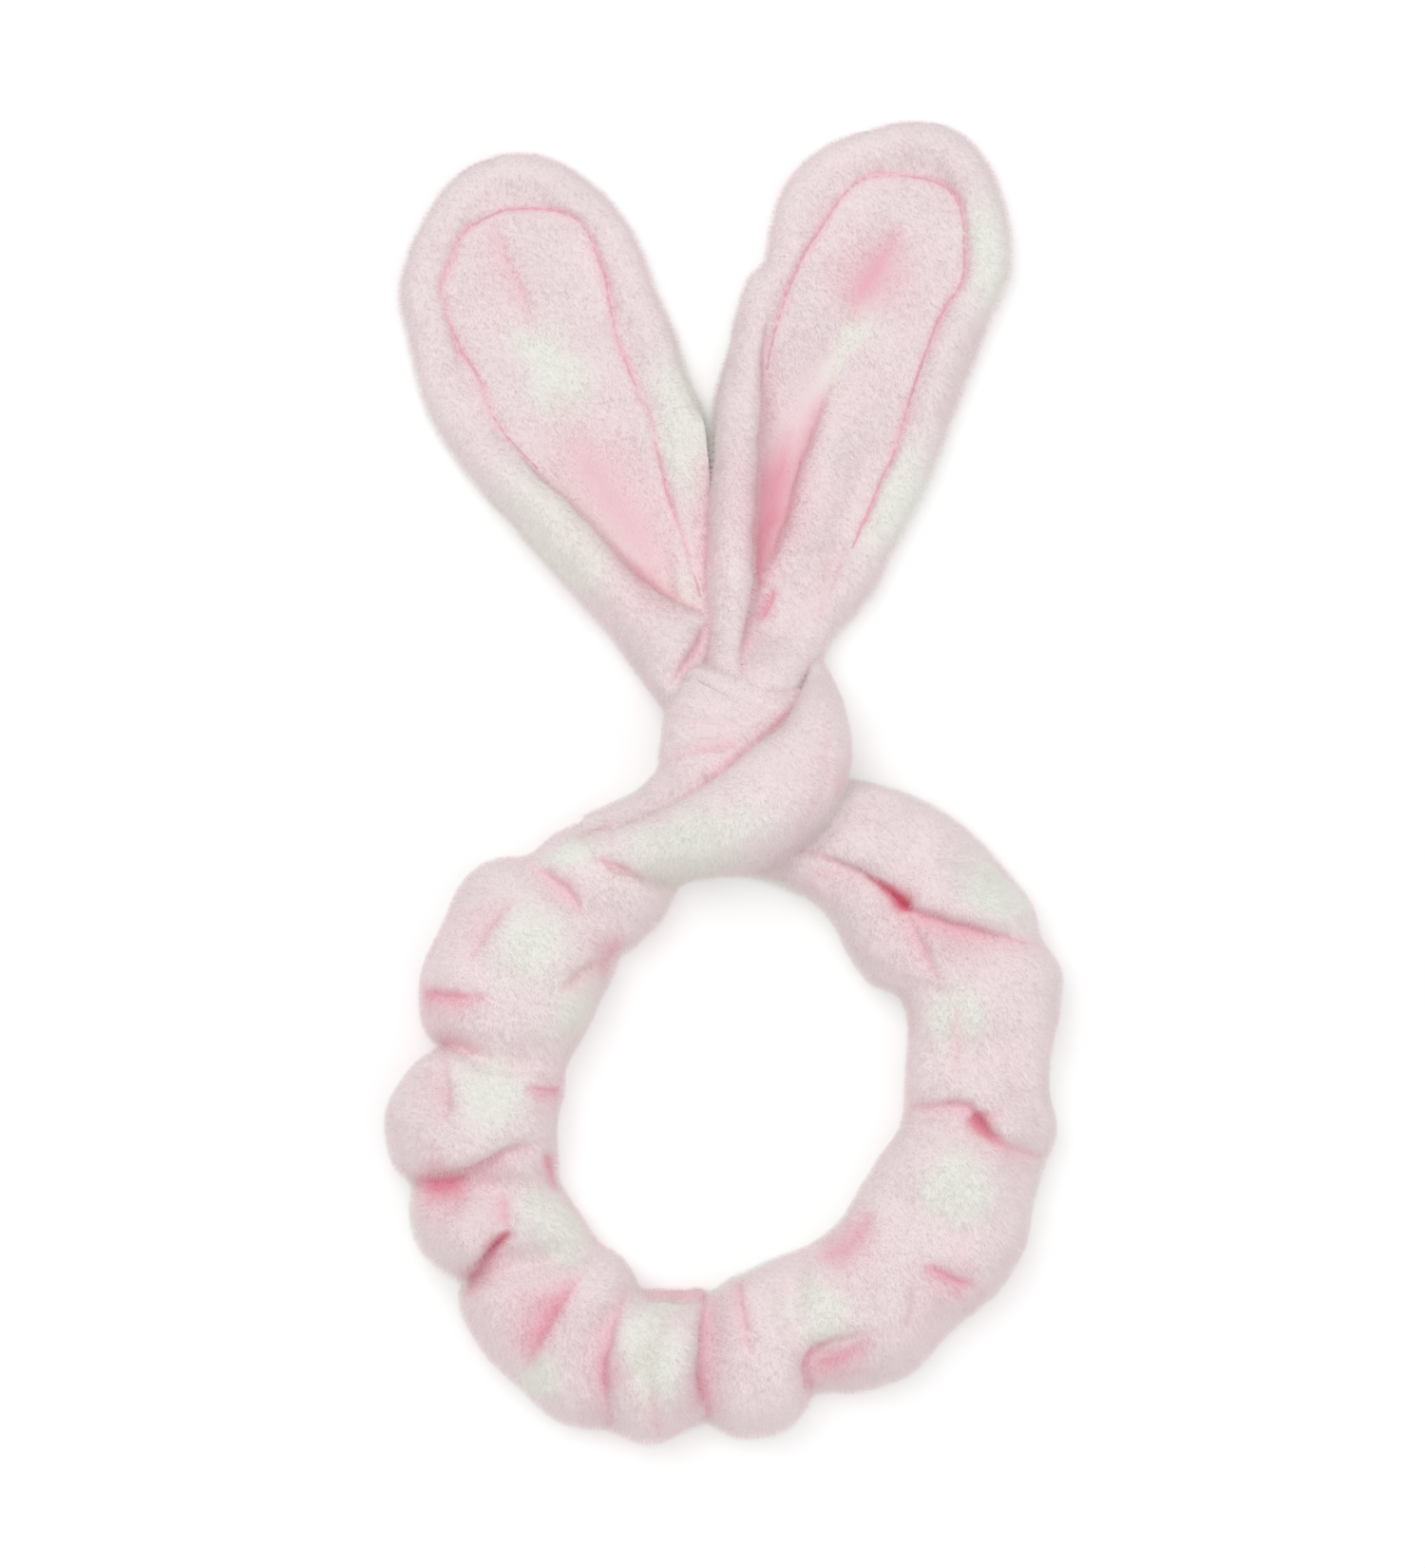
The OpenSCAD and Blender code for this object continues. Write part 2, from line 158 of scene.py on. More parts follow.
# The ears, in stations from the knot to the tip: left edge x, y, right edge x, y.
LEFT_EAR = [
    (-16, 101, -6.5, 102), (-22.4, 109.4, -6, 109), (-28.4, 118, -5, 117), (-37.2, 131.2, -4.8, 127),
    (-47.4, 143, -5, 138), (-56.2, 151.8, -5.4, 148), (-64.8, 159.4, -5.6, 158),
    (-73.4, 170.4, -6.4, 170), (-79.8, 180.2, -8.2, 181), (-83.4, 190.2, -12.2, 192),
    (-86.2, 203, -15.8, 203), (-88.6, 212, -20.6, 214), (-87, 222.4, -25.2, 226),
    (-83, 231.6, -31.6, 236.4), (-77, 241.2, -38.4, 243.2), (-70, 247.6, -45.2, 248),
    (-62, 251, -52, 251),
]
RIGHT_EAR = [
    (-10, 102, 18.2, 103), (-10, 110, 21.2, 112), (-8.8, 117, 25.2, 120.2), (-7.8, 127, 32, 128.2),
    (-7.4, 138, 38.2, 136), (-7, 149, 42.9, 145.5), (-6, 160, 50.7, 160.2), (-4, 170, 55.4, 170.4),
    (-3, 180, 59.2, 181.4), (-1, 190, 63.6, 193.6), (1, 200, 67.2, 202.6), (2.2, 208, 70.4, 210.6),
    (5, 217.4, 74, 219.4), (9.6, 222.6, 74.2, 228), (11.2, 231.2, 73, 235.6), (13.4, 239.4, 71, 242),
    (18.2, 246.8, 67.8, 249.2), (24.6, 252.2, 63.2, 255), (32.4, 256, 57.2, 258.4),
    (43, 259.4, 51.2, 259.7),
]

# The knot's strands: x, y, z, half width, half thickness.
FRONT_WRAP = [
    (-48, 58.5, 8, 6, 7), (-39, 60.5, 10, 8.4, 9.4), (-29, 63, 12, 9, 10.8), (-18, 66, 15, 9.6, 11.6),
    (-6.5, 70, 20, 11.4, 12.8), (4.6, 74.4, 24.5, 13.4, 13.4), (14, 81.4, 25, 13.6, 13.2),
    (20.4, 90, 20.2, 10.2, 13.8), (22.4, 98.5, 14.8, 7.2, 12.6), (22.8, 106, 10.4, 4.6, 9.4),
    (21.8, 112.5, 8, 2.8, 6.4), (20.6, 117, 6.6, 1, 2.8),
]
CORE_STRAND = [
    (5.8, 110.4, 15, 14, 2.5), (5.6, 109.7, 15.2, 16, 5), (5.2, 108, 15.7, 17.4, 7),
    (4.4, 105.5, 16.2, 18.3, 8.4), (3.2, 102, 16.6, 18, 9.3), (0, 97, 17, 17.4, 11),
    (-3.4, 88, 17, 15.8, 13), (-9, 79.2, 15, 12.8, 12), (-19, 73, 12, 9.2, 10),
    (-29, 69.8, 9.5, 7.2, 8.4), (-38, 67.2, 8, 5.6, 6),
]
BACK_PASS = [
    (22, 94, 6, 8, 5.5), (14, 86, 7, 13, 6.5), (7, 79, 7, 14, 6.5), (13, 69, 8, 11, 7),
    (21, 67, 9, 8, 7),
]

# Folds as seen from the front: (points, lip, dip, width, pink, red). The lip is how far the fabric swells
# on the left of the line's direction, or on its right where it is negative. The dip is the crease's depth.
# Pink and red are painted shade: a pinkish tint where the crease lies in shade, and a reddish painted
# shadow in slits and deep creases.
BAND_FOLDS = [
    ([(-85, 26.8), (-76, 26), (-63, 25.4)], 0.6, 0.5, 2.0, 0.8, 0),
    ([(-57, 52), (-64, 43), (-69, 33)], 0.8, 0.3, 2.2, 0.3, 0),
    ([(-88, 9), (-81, 11.5), (-73, 11.6), (-62, 9)], -2.2, 1.0, 2.0, 0.45, 0),
    ([(-76, 10), (-75, 1), (-76, -9)], 0.8, 0.3, 2.2, 0.3, 0),
    ([(-56, 1.4), (-49, 1), (-41, -0.8)], 0.5, 0.5, 1.6, 0.7, 0),
    ([(-93, -18.6), (-84, -21.6), (-75, -21), (-67.4, -18.8), (-60, -15.4), (-48, -11.4)],
     3.2, 1.2, 2.0, 0.7, 0),
    ([(-85, -23.6), (-77, -24.4), (-69, -21.6)], 0, 0.3, 3.8, 1.0, 0.2),
    ([(-80, -55), (-72, -50), (-64.5, -42.4), (-58.5, -35)], 2.8, 1.8, 1.8, 0.8, 0),
    ([(-75, -51), (-69.5, -46), (-64, -41), (-59, -35.6)], 0, 1.2, 2.0, 0.5, 0.8),
    ([(-61, -25), (-60.4, -31), (-59.7, -38)], 0.6, 0.5, 1.5, 0.5, 0),
    ([(-50.5, -15), (-48, -21), (-45.5, -28)], 0, 0.5, 1.6, 0.75, 0.05),
    ([(-38.5, -47), (-46, -57), (-50.5, -65), (-55.6, -76)], 1.4, 0.6, 3.0, 0.85, 0.06),
    ([(-42, -55), (-50, -60), (-60, -61)], 0, 0.3, 2.6, 0.5, 0),
    ([(-27, -51), (-32, -65), (-33.3, -77.7), (-31, -96)], 1.6, 1.1, 1.8, 0.55, 0),
    ([(-33, -66), (-33.3, -74), (-33, -83)], 0, 0.5, 1.8, 0.75, 0.08),
    ([(-19, -95), (-21, -86), (-20.5, -76)], 0.6, 0.3, 1.8, 0.2, 0),
    ([(-20, -54), (-20, -68), (-20, -86)], 0, -1.8, 7, 0, 0),
    ([(-6.5, -49), (-8.2, -64), (-8.9, -76.7), (-4, -95)], -2.0, 1.3, 1.8, 0.6, 0),
    ([(-9.2, -69), (-8.9, -77), (-7.2, -85)], 0, 0.5, 1.6, 0.7, 0.15),
    ([(2.4, -45), (2.6, -56), (6, -72)], 1.0, 0.6, 1.8, 0.4, 0),
    ([(26, -92), (20.6, -82), (18.8, -72), (25.5, -66), (42, -62)], 2.2, 0.9, 1.8, 0.6, 0),
    ([(20, -75), (28, -71), (39, -66)], 0, 0.3, 2.6, 0.7, 0),
    ([(22, -45), (31, -41), (39, -30)], 0, 0.4, 2.8, 0.6, 0),
    ([(50, -45), (57.6, -48.5), (66, -52)], 0.8, 0.4, 1.8, 0.8, 0.05),
    ([(57, -47), (60, -52), (62, -57)], 0, 0.3, 1.6, 0.5, 0),
    ([(44, -66), (48.5, -55), (47, -44)], 0.6, 0.3, 2.4, 0.12, 0),
    ([(72, -60), (64, -50), (60, -37)], -0.7, 0.3, 2.4, 0.15, 0),
    ([(42, -3), (53, -3.6), (62.7, -3.5), (68.5, -10), (77.8, -15.8), (92, -19)], 1.4, 0.9, 1.6, 0.6, 0),
    ([(75.5, -15.4), (70, -12.6), (66.6, -9), (64.6, -4.6)], 0, 1.4, 3.4, 0.6, 0.7),
    ([(59.9, 26), (59.7, 14), (59.5, 2)], 0, 0.25, 1.4, 0.25, 0),
    ([(13, 65.6), (30, 60.8), (37, 57.6), (42.5, 53.6)], 2.2, 1.0, 1.5, 0.35, 0),
    ([(36, 58.4), (45.2, 50.2), (55.9, 46), (68, 42.6), (84, 37.6)], 3.2, 1.0, 2.4, 0.72, 0),
    ([(31, 60), (38, 56.8), (43.6, 52.4), (48.6, 47.6)], 0, 2.2, 2.5, 0.5, 1.0),
    ([(44.2, 50.5), (49, 43.4), (52.4, 35.8), (57, 25)], 0.9, 0.6, 1.6, 0.45, 0),
    ([(30, 60), (25, 57), (18, 60)], 0, 0.3, 2.4, 0.2, 0),
    ([(-38.6, 73.4), (-30, 68.4), (-20, 68)], 0.8, 0.5, 1.6, 0.45, 0),
    ([(-56, 61.4), (-47.5, 57.8), (-42, 52), (-38, 46)], 1.8, 0.8, 1.8, 0.45, 0),
    ([(-28.5, 43), (-33, 35.6), (-36, 28)], 0, 0.4, 2.6, 0.45, 0),
    ([(-47, 25), (-39.5, 32.6), (-29, 36.6)], 0.8, 0.3, 2.2, 0.35, 0),
]
WRAP_FOLDS = [
    ([(24.6, 100), (25.8, 90), (24.6, 81), (15, 64)], 0.6, 0.3, 2.2, 0.15, 0),
    ([(-40, 60), (-31, 60.8), (-22, 56)], 0.4, 0.4, 1.5, 0.5, 0),
    ([(37, 82), (31.5, 79), (28, 76)], 0, 0.3, 2.4, 0.7, 0),
]
CORE_FOLDS = [
    ([(6, 92.2), (-1, 91.8), (-8, 90.6), (-20, 86.6)], 0.6, 0.5, 1.4, 0.4, 0),
    ([(-17, 101), (-6, 98.4), (6, 97.4)], 0.6, 0.3, 2.2, 0.1, 0),
    ([(25, 111), (19.4, 105.6), (13.2, 98.3), (5.6, 92.2), (-3, 85), (-12, 78.6), (-24, 72.4)],
     0, 0.3, 1.6, 0.5, 0),
    ([(17.8, 103.6), (12.6, 97.8), (7, 93)], 0, 0.2, 1.2, 0.6, 0.15),
]
LEFT_STITCH = [
    (-52, 166.4), (-62, 177.3), (-67.6, 190.8), (-73, 199.4), (-77, 211.6), (-76.4, 219), (-71.9, 229),
    (-64.3, 234.6), (-57, 236), (-47, 235.4), (-40, 231.4), (-34.5, 219.2), (-30.2, 199.4),
    (-22.4, 181.9), (-18, 162), (-12.4, 145.5), (-8.4, 132),
]
RIGHT_STITCH = [
    (9.4, 193), (10.6, 200), (16.3, 217), (23.9, 231.4), (31.5, 241.3), (36, 244), (42, 245.2),
    (49.3, 244.6), (56.9, 242.3), (61.2, 237), (62.5, 228), (62, 217.2), (56.9, 209.3), (50.3, 192.8),
    (46, 179.6), (43.2, 169.7), (39.4, 162), (34.8, 151), (31.5, 143),
]
LEFT_EAR_FOLDS = [
    ([(-66, 240), (-61, 226), (-55, 212), (-52, 200)], 0.6, 0.3, 2.4, 0.3, 0),
    ([(-50, 190), (-41, 172), (-32, 158), (-23, 145), (-12, 130)], 0, 1.2, 6.5, 0.42, 0),
    ([(-62, 178), (-53, 166.4), (-43, 156), (-35, 147.5), (-26.7, 139.4), (-15.2, 131.6), (-5, 127)],
     -4.6, 2.2, 2.2, 0.5, 0),
    ([(-38, 152), (-28, 141), (-18, 133.5), (-7, 128.5)], 0, 0.8, 3.2, 0.62, 0.03),
    ([(-6, 128.5), (-8.8, 121.5), (-12.6, 114.6), (-17.5, 108)], -1.3, 0.9, 1.5, 0.5, 0),
    # The crevice between the ears: a shallow groove with pinkish painted shade.
    ([(-6, 180), (-6, 165), (-6, 150), (-7, 135), (-8, 122)], 0, 0.2, 2.2, 0.4, 0),
]
RIGHT_EAR_FOLDS = [
    ([(46, 234), (40.5, 222.5), (35.5, 214), (30, 203)], 0, 1.2, 4.2, 0.72, 0),
    ([(40, 222), (30.5, 203), (24.5, 193), (18.5, 181), (13.3, 169), (10.4, 154), (6, 136)],
     0, 2.6, 5.0, 0.1, 0),
    ([(30, 196), (24.8, 184), (19.4, 170), (14.6, 154), (9.5, 139.6), (5.4, 128)], 2.8, 1.8, 2.4, 0.6, 0),
    ([(12.5, 216), (9.5, 204), (8, 190), (7.6, 175), (7, 158), (6.3, 143), (4, 128), (2, 116)],
     -3.0, 1.8, 2.0, 0.42, 0),
    ([(17, 181), (13, 166), (10, 151), (7.6, 136)], 0, 1.2, 4.2, 0.8, 0.05),
    ([(12, 158), (9.8, 148), (8.2, 139), (6.6, 131)], 0, 0.6, 1.8, 0.7, 0.25),
    ([(7.6, 141), (5.6, 134), (4, 126), (1.5, 107)], -1.4, 1.2, 1.5, 0.55, 0),
    ([(12.4, 135.6), (9.8, 129.6), (7.6, 124)], 0.8, 0.5, 1.5, 0.7, 0),
    ([(32, 150), (27, 136), (23, 122)], 0.5, 0.3, 1.8, 0.15, 0),
    # The crevice between the ears: a shallow groove with pinkish painted shade.
    ([(-7, 180), (-7, 165), (-7, 150), (-7.5, 135), (-8, 122)], 0, 0.2, 2.0, 0.4, 0),
]
# Each stitch line presses a narrow groove with pinkish painted shade beside the thread.
for stitches, ear_folds in ((LEFT_STITCH, LEFT_EAR_FOLDS), (RIGHT_STITCH, RIGHT_EAR_FOLDS)):
    ear_folds += [(stitches[k:k + 6], 0, 0.7, 0.8, 0.5, 0) for k in range(0, len(stitches) - 3, 3)]

# Cream patches of the tie-dyed fleece: x, y, radius across, radius along, turn in degrees.
CREAM = [
    (-48, 192, 10, 17, 20), (-14, 177, 9, 21, 14), (-46, 149, 23, 13, -44), (-14, 135, 7, 6, 0),
    (70, 223, 8, 18, 0), (45.5, 158, 9, 18, -20), (30, 199, 5, 14, -28), (-12, 65.5, 24, 10.5, 18),
    (-43, 65, 9, 5, 25), (-53, 40, 12, 14, 0), (-42, 23, 9, 13, -25), (-63.5, -1, 12, 12, 0),
    (-45, -9, 4, 8, 0), (-48, -36, 9, 14, 30), (-20, -67, 9, 15, 0), (-52, -75, 7, 6, 0),
    (23, -57, 8, 9, 0), (59.5, -24, 11, 13, 0), (61, 20, 9, 10, 0), (72, 56, 14, 10, -42),
]


def spline(rows, at):
    """Points on a smooth curve through the rows, at places counted in rows."""
    rows = np.asarray(rows, float)
    at = np.asarray(at, float)
    last = len(rows) - 1
    i = np.clip(np.floor(at).astype(int), 0, last - 1)
    f = (at - i)[:, None]
    a, b, c, d = (rows[np.clip(i + k, 0, last)] for k in (-1, 0, 1, 2))
    return 0.5 * (2 * b + (c - a) * f + (2 * a - 5 * b + 4 * c - d) * f**2 + (3 * b - a - 3 * c + d) * f**3)


def even_places(rows, middle, spacing):
    """Places along the rows' middle line, so that neighbours are about one spacing apart."""
    fine = np.linspace(0, len(rows) - 1, 40 * len(rows))
    line = middle(spline(rows, fine))
    along = np.concatenate([[0], np.cumsum(np.linalg.norm(np.diff(line, axis=0), axis=1))])
    count = int(along[-1] / spacing)
    return np.interp(np.linspace(0, along[-1], count), along, fine)


def noise(points, size, seed):
    """Smooth noise from -1 to 1 whose features are that size, in mm."""
    p = np.asarray(points, float) / size + 31.7 * seed + 1000
    cell = np.floor(p).astype(np.int64)
    f = p - cell
    f = f * f * (3 - 2 * f)
    total = np.zeros(len(p))
    for corner in itertools.product((0, 1), repeat=3):
        c = cell + corner
        h = (c[:, 0] * 73856093) ^ (c[:, 1] * 19349663) ^ (c[:, 2] * 83492791)
        h = ((h ^ (h >> 13)) * 1274126177) & 0x7FFFFFFF
        weight = np.prod(np.where(corner, f, 1 - f), axis=1)
        total += ((h >> 8) % 65536 / 32768 - 1) * weight
    return total


def smooth(t):
    """From 0 to 1 with soft ends, as t goes from 0 to 1."""
    t = np.clip(t, 0, 1)
    return t * t * (3 - 2 * t)


def nearest_on(line, points):
    """For each plan point: distance to the line, vector from it, share of the line passed, and side."""
    best = np.full(len(points), 1e9)
    away = np.zeros((len(points), 2))
    share = np.zeros(len(points))
    side = np.ones(len(points))
    for k in range(len(line) - 1):
        a, b = line[k], line[k + 1]
        ab = b - a
        t = np.clip((points - a) @ ab / max(ab @ ab, 1e-9), 0, 1)
        v = points - (a + t[:, None] * ab)
        d = np.linalg.norm(v, axis=1)
        closer = d < best
        best[closer] = d[closer]
        away[closer] = v[closer]
        share[closer] = (k + t[closer]) / (len(line) - 1)
        side[closer] = np.sign(ab[0] * v[closer, 1] - ab[1] * v[closer, 0])
    return best, away, share, side


def fold(points, normals, folds):
    """Presses folds into the front. Returns moved points, and shares of pink, red, crease and fringe.

    A lip swells and hangs over the line, a groove runs along it, and both fade out at the line's ends.
    The pink and red shares are painted shade: a pinkish tint in the crease's shade, and a reddish painted
    shadow in its core.
    """
    moved = points.copy()
    pink, red, held, fringe = np.zeros((4, len(points)))
    front = smooth(normals[:, 2] / 0.35)
    wiggle = np.stack([noise(points, 6, 3), noise(points, 6, 4)], 1) * 0.5
    wiggle += np.stack([noise(points, 2.4, 5), noise(points, 2.4, 6)], 1) * 0.3
    for line, lip, dip, width, shade_pinkness, shadow_redness in folds:
        line = np.array(line, float)
        curve = spline(line, np.linspace(0, len(line) - 1, 6 * len(line)))
        lip_reach = 9 + 2.2 * abs(lip)
        reach = max(7 * width, lip_reach) + 3
        low, high = curve.min(0) - reach, curve.max(0) + reach
        near = np.flatnonzero(np.all((points[:, :2] > low) & (points[:, :2] < high), axis=1) & (front > 0))
        if not len(near):
            continue
        d, away, share, side = nearest_on(curve, points[near, :2] + wiggle[near])
        is_slit = shadow_redness > SLIT_REDNESS
        opening, closing = (0.8, 0.2) if is_slit else (0.4, 0.4)
        taper = smooth(share / opening) * smooth((1 - share) / closing)
        ends = taper * front[near]
        over = (side * (np.sign(lip) or 1) > 0) & (lip != 0)
        swell = abs(lip) * np.sin(np.pi * np.clip(d / lip_reach, 0, 1) ** 0.65) * over * ends
        steep = width * (0.5 + 0.5 * taper) * (1 if lip == 0 else np.where(over, 0.55, 1.5))
        if is_slit:
            steep = width * np.maximum(taper, 0.15)
        groove = dip * (0.75 * np.exp(-((d / steep) ** 1.5)) + 0.25 * np.exp(-((d / (2.6 * steep)) ** 2)))
        moved[near] += normals[near] * (swell - groove * ends)[:, None]
        toward = away / np.maximum(d, 1e-6)[:, None]
        hang = 0.4 * abs(lip) * np.minimum(d / width, 1) * np.exp(-d / 3.5) * over * ends
        moved[near, :2] -= toward * hang[:, None]
        # Painted shade: a pinkish tint fading out from the crease, wider away from the lip, with a reddish
        # core.
        crease_shade_tint = 0.6 * np.exp(-((d / (0.9 * steep)) ** 1.3)) + 0.4 * np.exp(-((d / (2.4 * steep)) ** 1.6))
        pink[near] = np.maximum(pink[near], shade_pinkness * crease_shade_tint * ends**0.7)
        red[near] = np.maximum(red[near], shadow_redness * np.exp(-((d / (0.9 * steep)) ** 2.5)) * np.sqrt(ends))
        grip = min(1, 0.3 + dip / 2) * np.exp(-((d / (0.6 + width)) ** 2))
        held[near] = np.maximum(held[near], grip * ends)
        beside = np.exp(-(((d - 1.8) / 1.6) ** 2)) * over * ends
        fringe[near] = np.maximum(fringe[near], min(1, abs(lip) / 1.5) * beside)
    return moved, pink, red, held, fringe


def grid_normals(grid):
    """Outward directions at the points of a grid whose columns close on themselves."""
    along = np.gradient(grid, axis=0)
    across = np.roll(grid, -1, axis=1) - np.roll(grid, 1, axis=1)
    n = np.cross(along, across)
    return n / np.maximum(np.linalg.norm(n, axis=2, keepdims=True), 1e-9)


def relief(grid, flow, seed):
    """The unevenness of real plush: soft swells, and combed streaks of pile."""
    n = grid_normals(grid)
    p, f = grid.reshape(-1, 3), flow.reshape(-1, 3)
    lift = SWELLS[0] * noise(p, SWELLS[1], seed) + STREAKS[0] * noise(f * (0.25, 1, 1), STREAKS[1], seed + 2)
    return grid + n * lift.reshape(*grid.shape[:2], 1)


def upsample(coarse, rows, columns, shape):
    """Values on every few rows and columns of a closed grid, made smooth on the whole grid."""
    at = np.interp(np.arange(shape[0]), rows, np.arange(len(rows)))
    tall = spline(coarse.reshape(len(rows), -1), at).reshape(shape[0], len(columns), 3)
    wrapped = np.concatenate([tall[:, -2:], tall, tall[:, :3]], 1).transpose(1, 0, 2)
    at = 2 + np.arange(shape[1]) / (columns[1] - columns[0])
    return spline(wrapped.reshape(len(wrapped), -1), at).reshape(shape[1], shape[0], 3).transpose(1, 0, 2)


def swell_as_cloth(grid, held, pressure, spare, cap):
    """Cloth simulation on every few points: spare length, pumped up, with creases and underside held."""
    rows = np.unique(np.linspace(0, len(grid) - 1, len(grid) // CLOTH_STEP).astype(int))
    columns = np.arange(0, grid.shape[1], CLOTH_STEP)
    coarse = grid[np.ix_(rows, columns)]
    obj = placed("cloth", grid_mesh("cloth", coarse))
    hold = np.maximum(held[np.ix_(rows, columns)], smooth((7 - coarse[..., 2]) / 6))
    hold[[0, -1]] = 1
    group = obj.vertex_groups.new(name="hold")
    for index, weight in enumerate(hold.ravel()):
        if weight > 0.02:
            group.add([index], float(weight), "REPLACE")
    cloth = obj.modifiers.new("cloth", "CLOTH")
    cloth.point_cache.frame_end = CLOTH_FRAMES
    cloth.collision_settings.use_collision = False
    settings = cloth.settings
    settings.quality = 6
    settings.mass = 0.05
    settings.tension_stiffness = settings.compression_stiffness = 12
    settings.shear_stiffness = 6
    settings.bending_stiffness = 1.5
    settings.use_pressure = True
    settings.uniform_pressure_force = pressure
    settings.shrink_min = -spare
    settings.vertex_group_mass = "hold"
    settings.effector_weights.gravity = 0
    scene = bpy.context.scene
    for frame_number in range(1, CLOTH_FRAMES + 1):
        scene.frame_set(frame_number)
    done = obj.evaluated_get(bpy.context.evaluated_depsgraph_get()).to_mesh()
    out = np.zeros(len(done.vertices) * 3, np.float32)
    done.vertices.foreach_get("co", out)
    move = out.reshape(coarse.shape) / MM - coarse
    length = np.linalg.norm(move, axis=2, keepdims=True)
    move *= np.tanh(length / cap) * cap / np.maximum(length, 1e-6)
    for _ in range(CLOTH_SMOOTHING):
        around = np.roll(move, 1, axis=1) + np.roll(move, -1, axis=1)
        ends = np.concatenate([move[:1], move, move[-1:]])
        move = 0.4 * move + 0.15 * (around + ends[:-2] + ends[2:])
    scene.frame_set(1)
    bpy.data.objects.remove(obj)
    return grid + upsample(move, rows, columns, grid.shape)


def cream_share(points):
    """Share of cream at each point, for the front and for the underside."""
    amount = np.zeros(len(points))
    warp = points[:, :2] + np.stack([noise(points, 10, 11), noise(points, 10, 12)], 1) * 4
    warp += np.stack([noise(points, 3.5, 15), noise(points, 3.5, 16)], 1) * 1.4
    for x, y, across, along, turn in CREAM:
        c, t = math.cos(math.radians(turn)), math.sin(math.radians(turn))
        dx, dy = warp[:, 0] - x, warp[:, 1] - y
        r = np.hypot((c * dx + t * dy) / across, (c * dy - t * dx) / along)
        amount = np.maximum(amount, 1 - smooth((r - 0.35) / 0.95))
    under = smooth((noise(points, 26, 13) - 0.05) / 0.5)
    return amount, under


def placed(name, data):
    """A new object of the scene from a mesh, light or camera."""
    obj = bpy.data.objects.new(name, data)
    bpy.context.scene.collection.objects.link(obj)
    return obj


def grid_mesh(name, grid):
    """A closed mesh from a grid of points in mm whose columns close on themselves."""
    n, m = grid.shape[:2]
    i, j = np.meshgrid(np.arange(n - 1), np.arange(m), indexing="ij")
    k = (j + 1) % m
    faces = np.stack([i * m + j, (i + 1) * m + j, (i + 1) * m + k, i * m + k], -1).reshape(-1, 4).tolist()
    faces += [list(range(m)), list(range(n * m - 1, (n - 1) * m - 1, -1))]
    mesh = bpy.data.meshes.new(name)
    mesh.from_pydata((grid.reshape(-1, 3) * MM).tolist(), [], faces)
    mesh.polygons.foreach_set("use_smooth", [True] * len(mesh.polygons))
    return mesh


def skin(name, grid, dye_and_shade, pile, rows=slice(None)):
    """A piece from a closed grid, or from some of its rows. Its colour shares are cream, and pink and red
    painted shade.

    The pile lengths go to a vertex group, as shares of PILE_LENGTH.
    """
    normals = grid_normals(grid)[rows].reshape(-1, 3)
    grid, dye_and_shade, pile = grid[rows], dye_and_shade[rows], pile[rows]
    mesh = grid_mesh(name, grid)
    mesh.normals_split_custom_set_from_vertices(normals.tolist())
    colour = mesh.color_attributes.new("dye_and_shade", "BYTE_COLOR", "CORNER")
    corner = np.zeros(len(mesh.loops), np.int32)
    mesh.loops.foreach_get("vertex_index", corner)
    values = np.concatenate([dye_and_shade.reshape(-1, 3), np.ones((len(normals), 1))], 1)[corner]
    colour.data.foreach_set("color", values.astype(np.float32).ravel())
    obj = placed(name, mesh)
    group = obj.vertex_groups.new(name="pile")
    steps = np.clip(np.round(pile.ravel(), 2), 0.12, 1)
    for value in np.unique(steps):
        group.add(np.flatnonzero(steps == value).tolist(), float(value), "REPLACE")
    return obj


def arc(m, top_power, bottom_power):
    """A rounded section: across from 1 to -1 and back, and up from -1 to 1."""
    a = 2 * np.pi * (np.arange(m) + 0.5) / m
    c, s = np.cos(a), np.sin(a)
    across = np.sign(c) * np.abs(c) ** 0.9
    up = np.where(s > 0, np.abs(s) ** top_power, -(np.abs(s) ** bottom_power))
    return a, across, up


def finish_skin(grid, flow, folds, seed, cloth=None):
    """Folds, cloth, pile relief, cream and painted shade on a grid. Returns the grid, its colours and pile
    lengths.
    """
    shape = grid.shape
    n = grid_normals(grid)
    p, pink, red, held, fringe = fold(grid.reshape(-1, 3), n.reshape(-1, 3), folds)
    grid = p.reshape(shape)
    held = held.reshape(shape[:2])
    pile = OPEN_PILE * (1 - 0.3 * pink - 0.75 * held.ravel()) + FRINGE_PILE * fringe
    if cloth:
        grid = swell_as_cloth(grid, held, *cloth)
    grid = relief(grid, flow, seed)
    grid[..., 2] = np.maximum(grid[..., 2], LOWEST)
    flat = grid.reshape(-1, 3)
    amount, under = cream_share(flat)
    facing = smooth((n[..., 2].ravel() + 0.1) / 0.5)
    cream = amount * facing + under * (1 - facing)
    # The underside isn't in the photo, so its cream and pink come from noise.
    back_pink = (1 - facing) * smooth((noise(flat, 14, 21) - 0.35) / 0.4) * 0.25
    # Cream is the fabric's own tie-dyed colour; the pink and red from the creases are painted shade.
    dye_and_shade = np.stack([cream, np.maximum(pink, back_pink), red], 1)
    return grid, dye_and_shade.reshape(shape[0], shape[1], 3), pile.reshape(shape[:2])


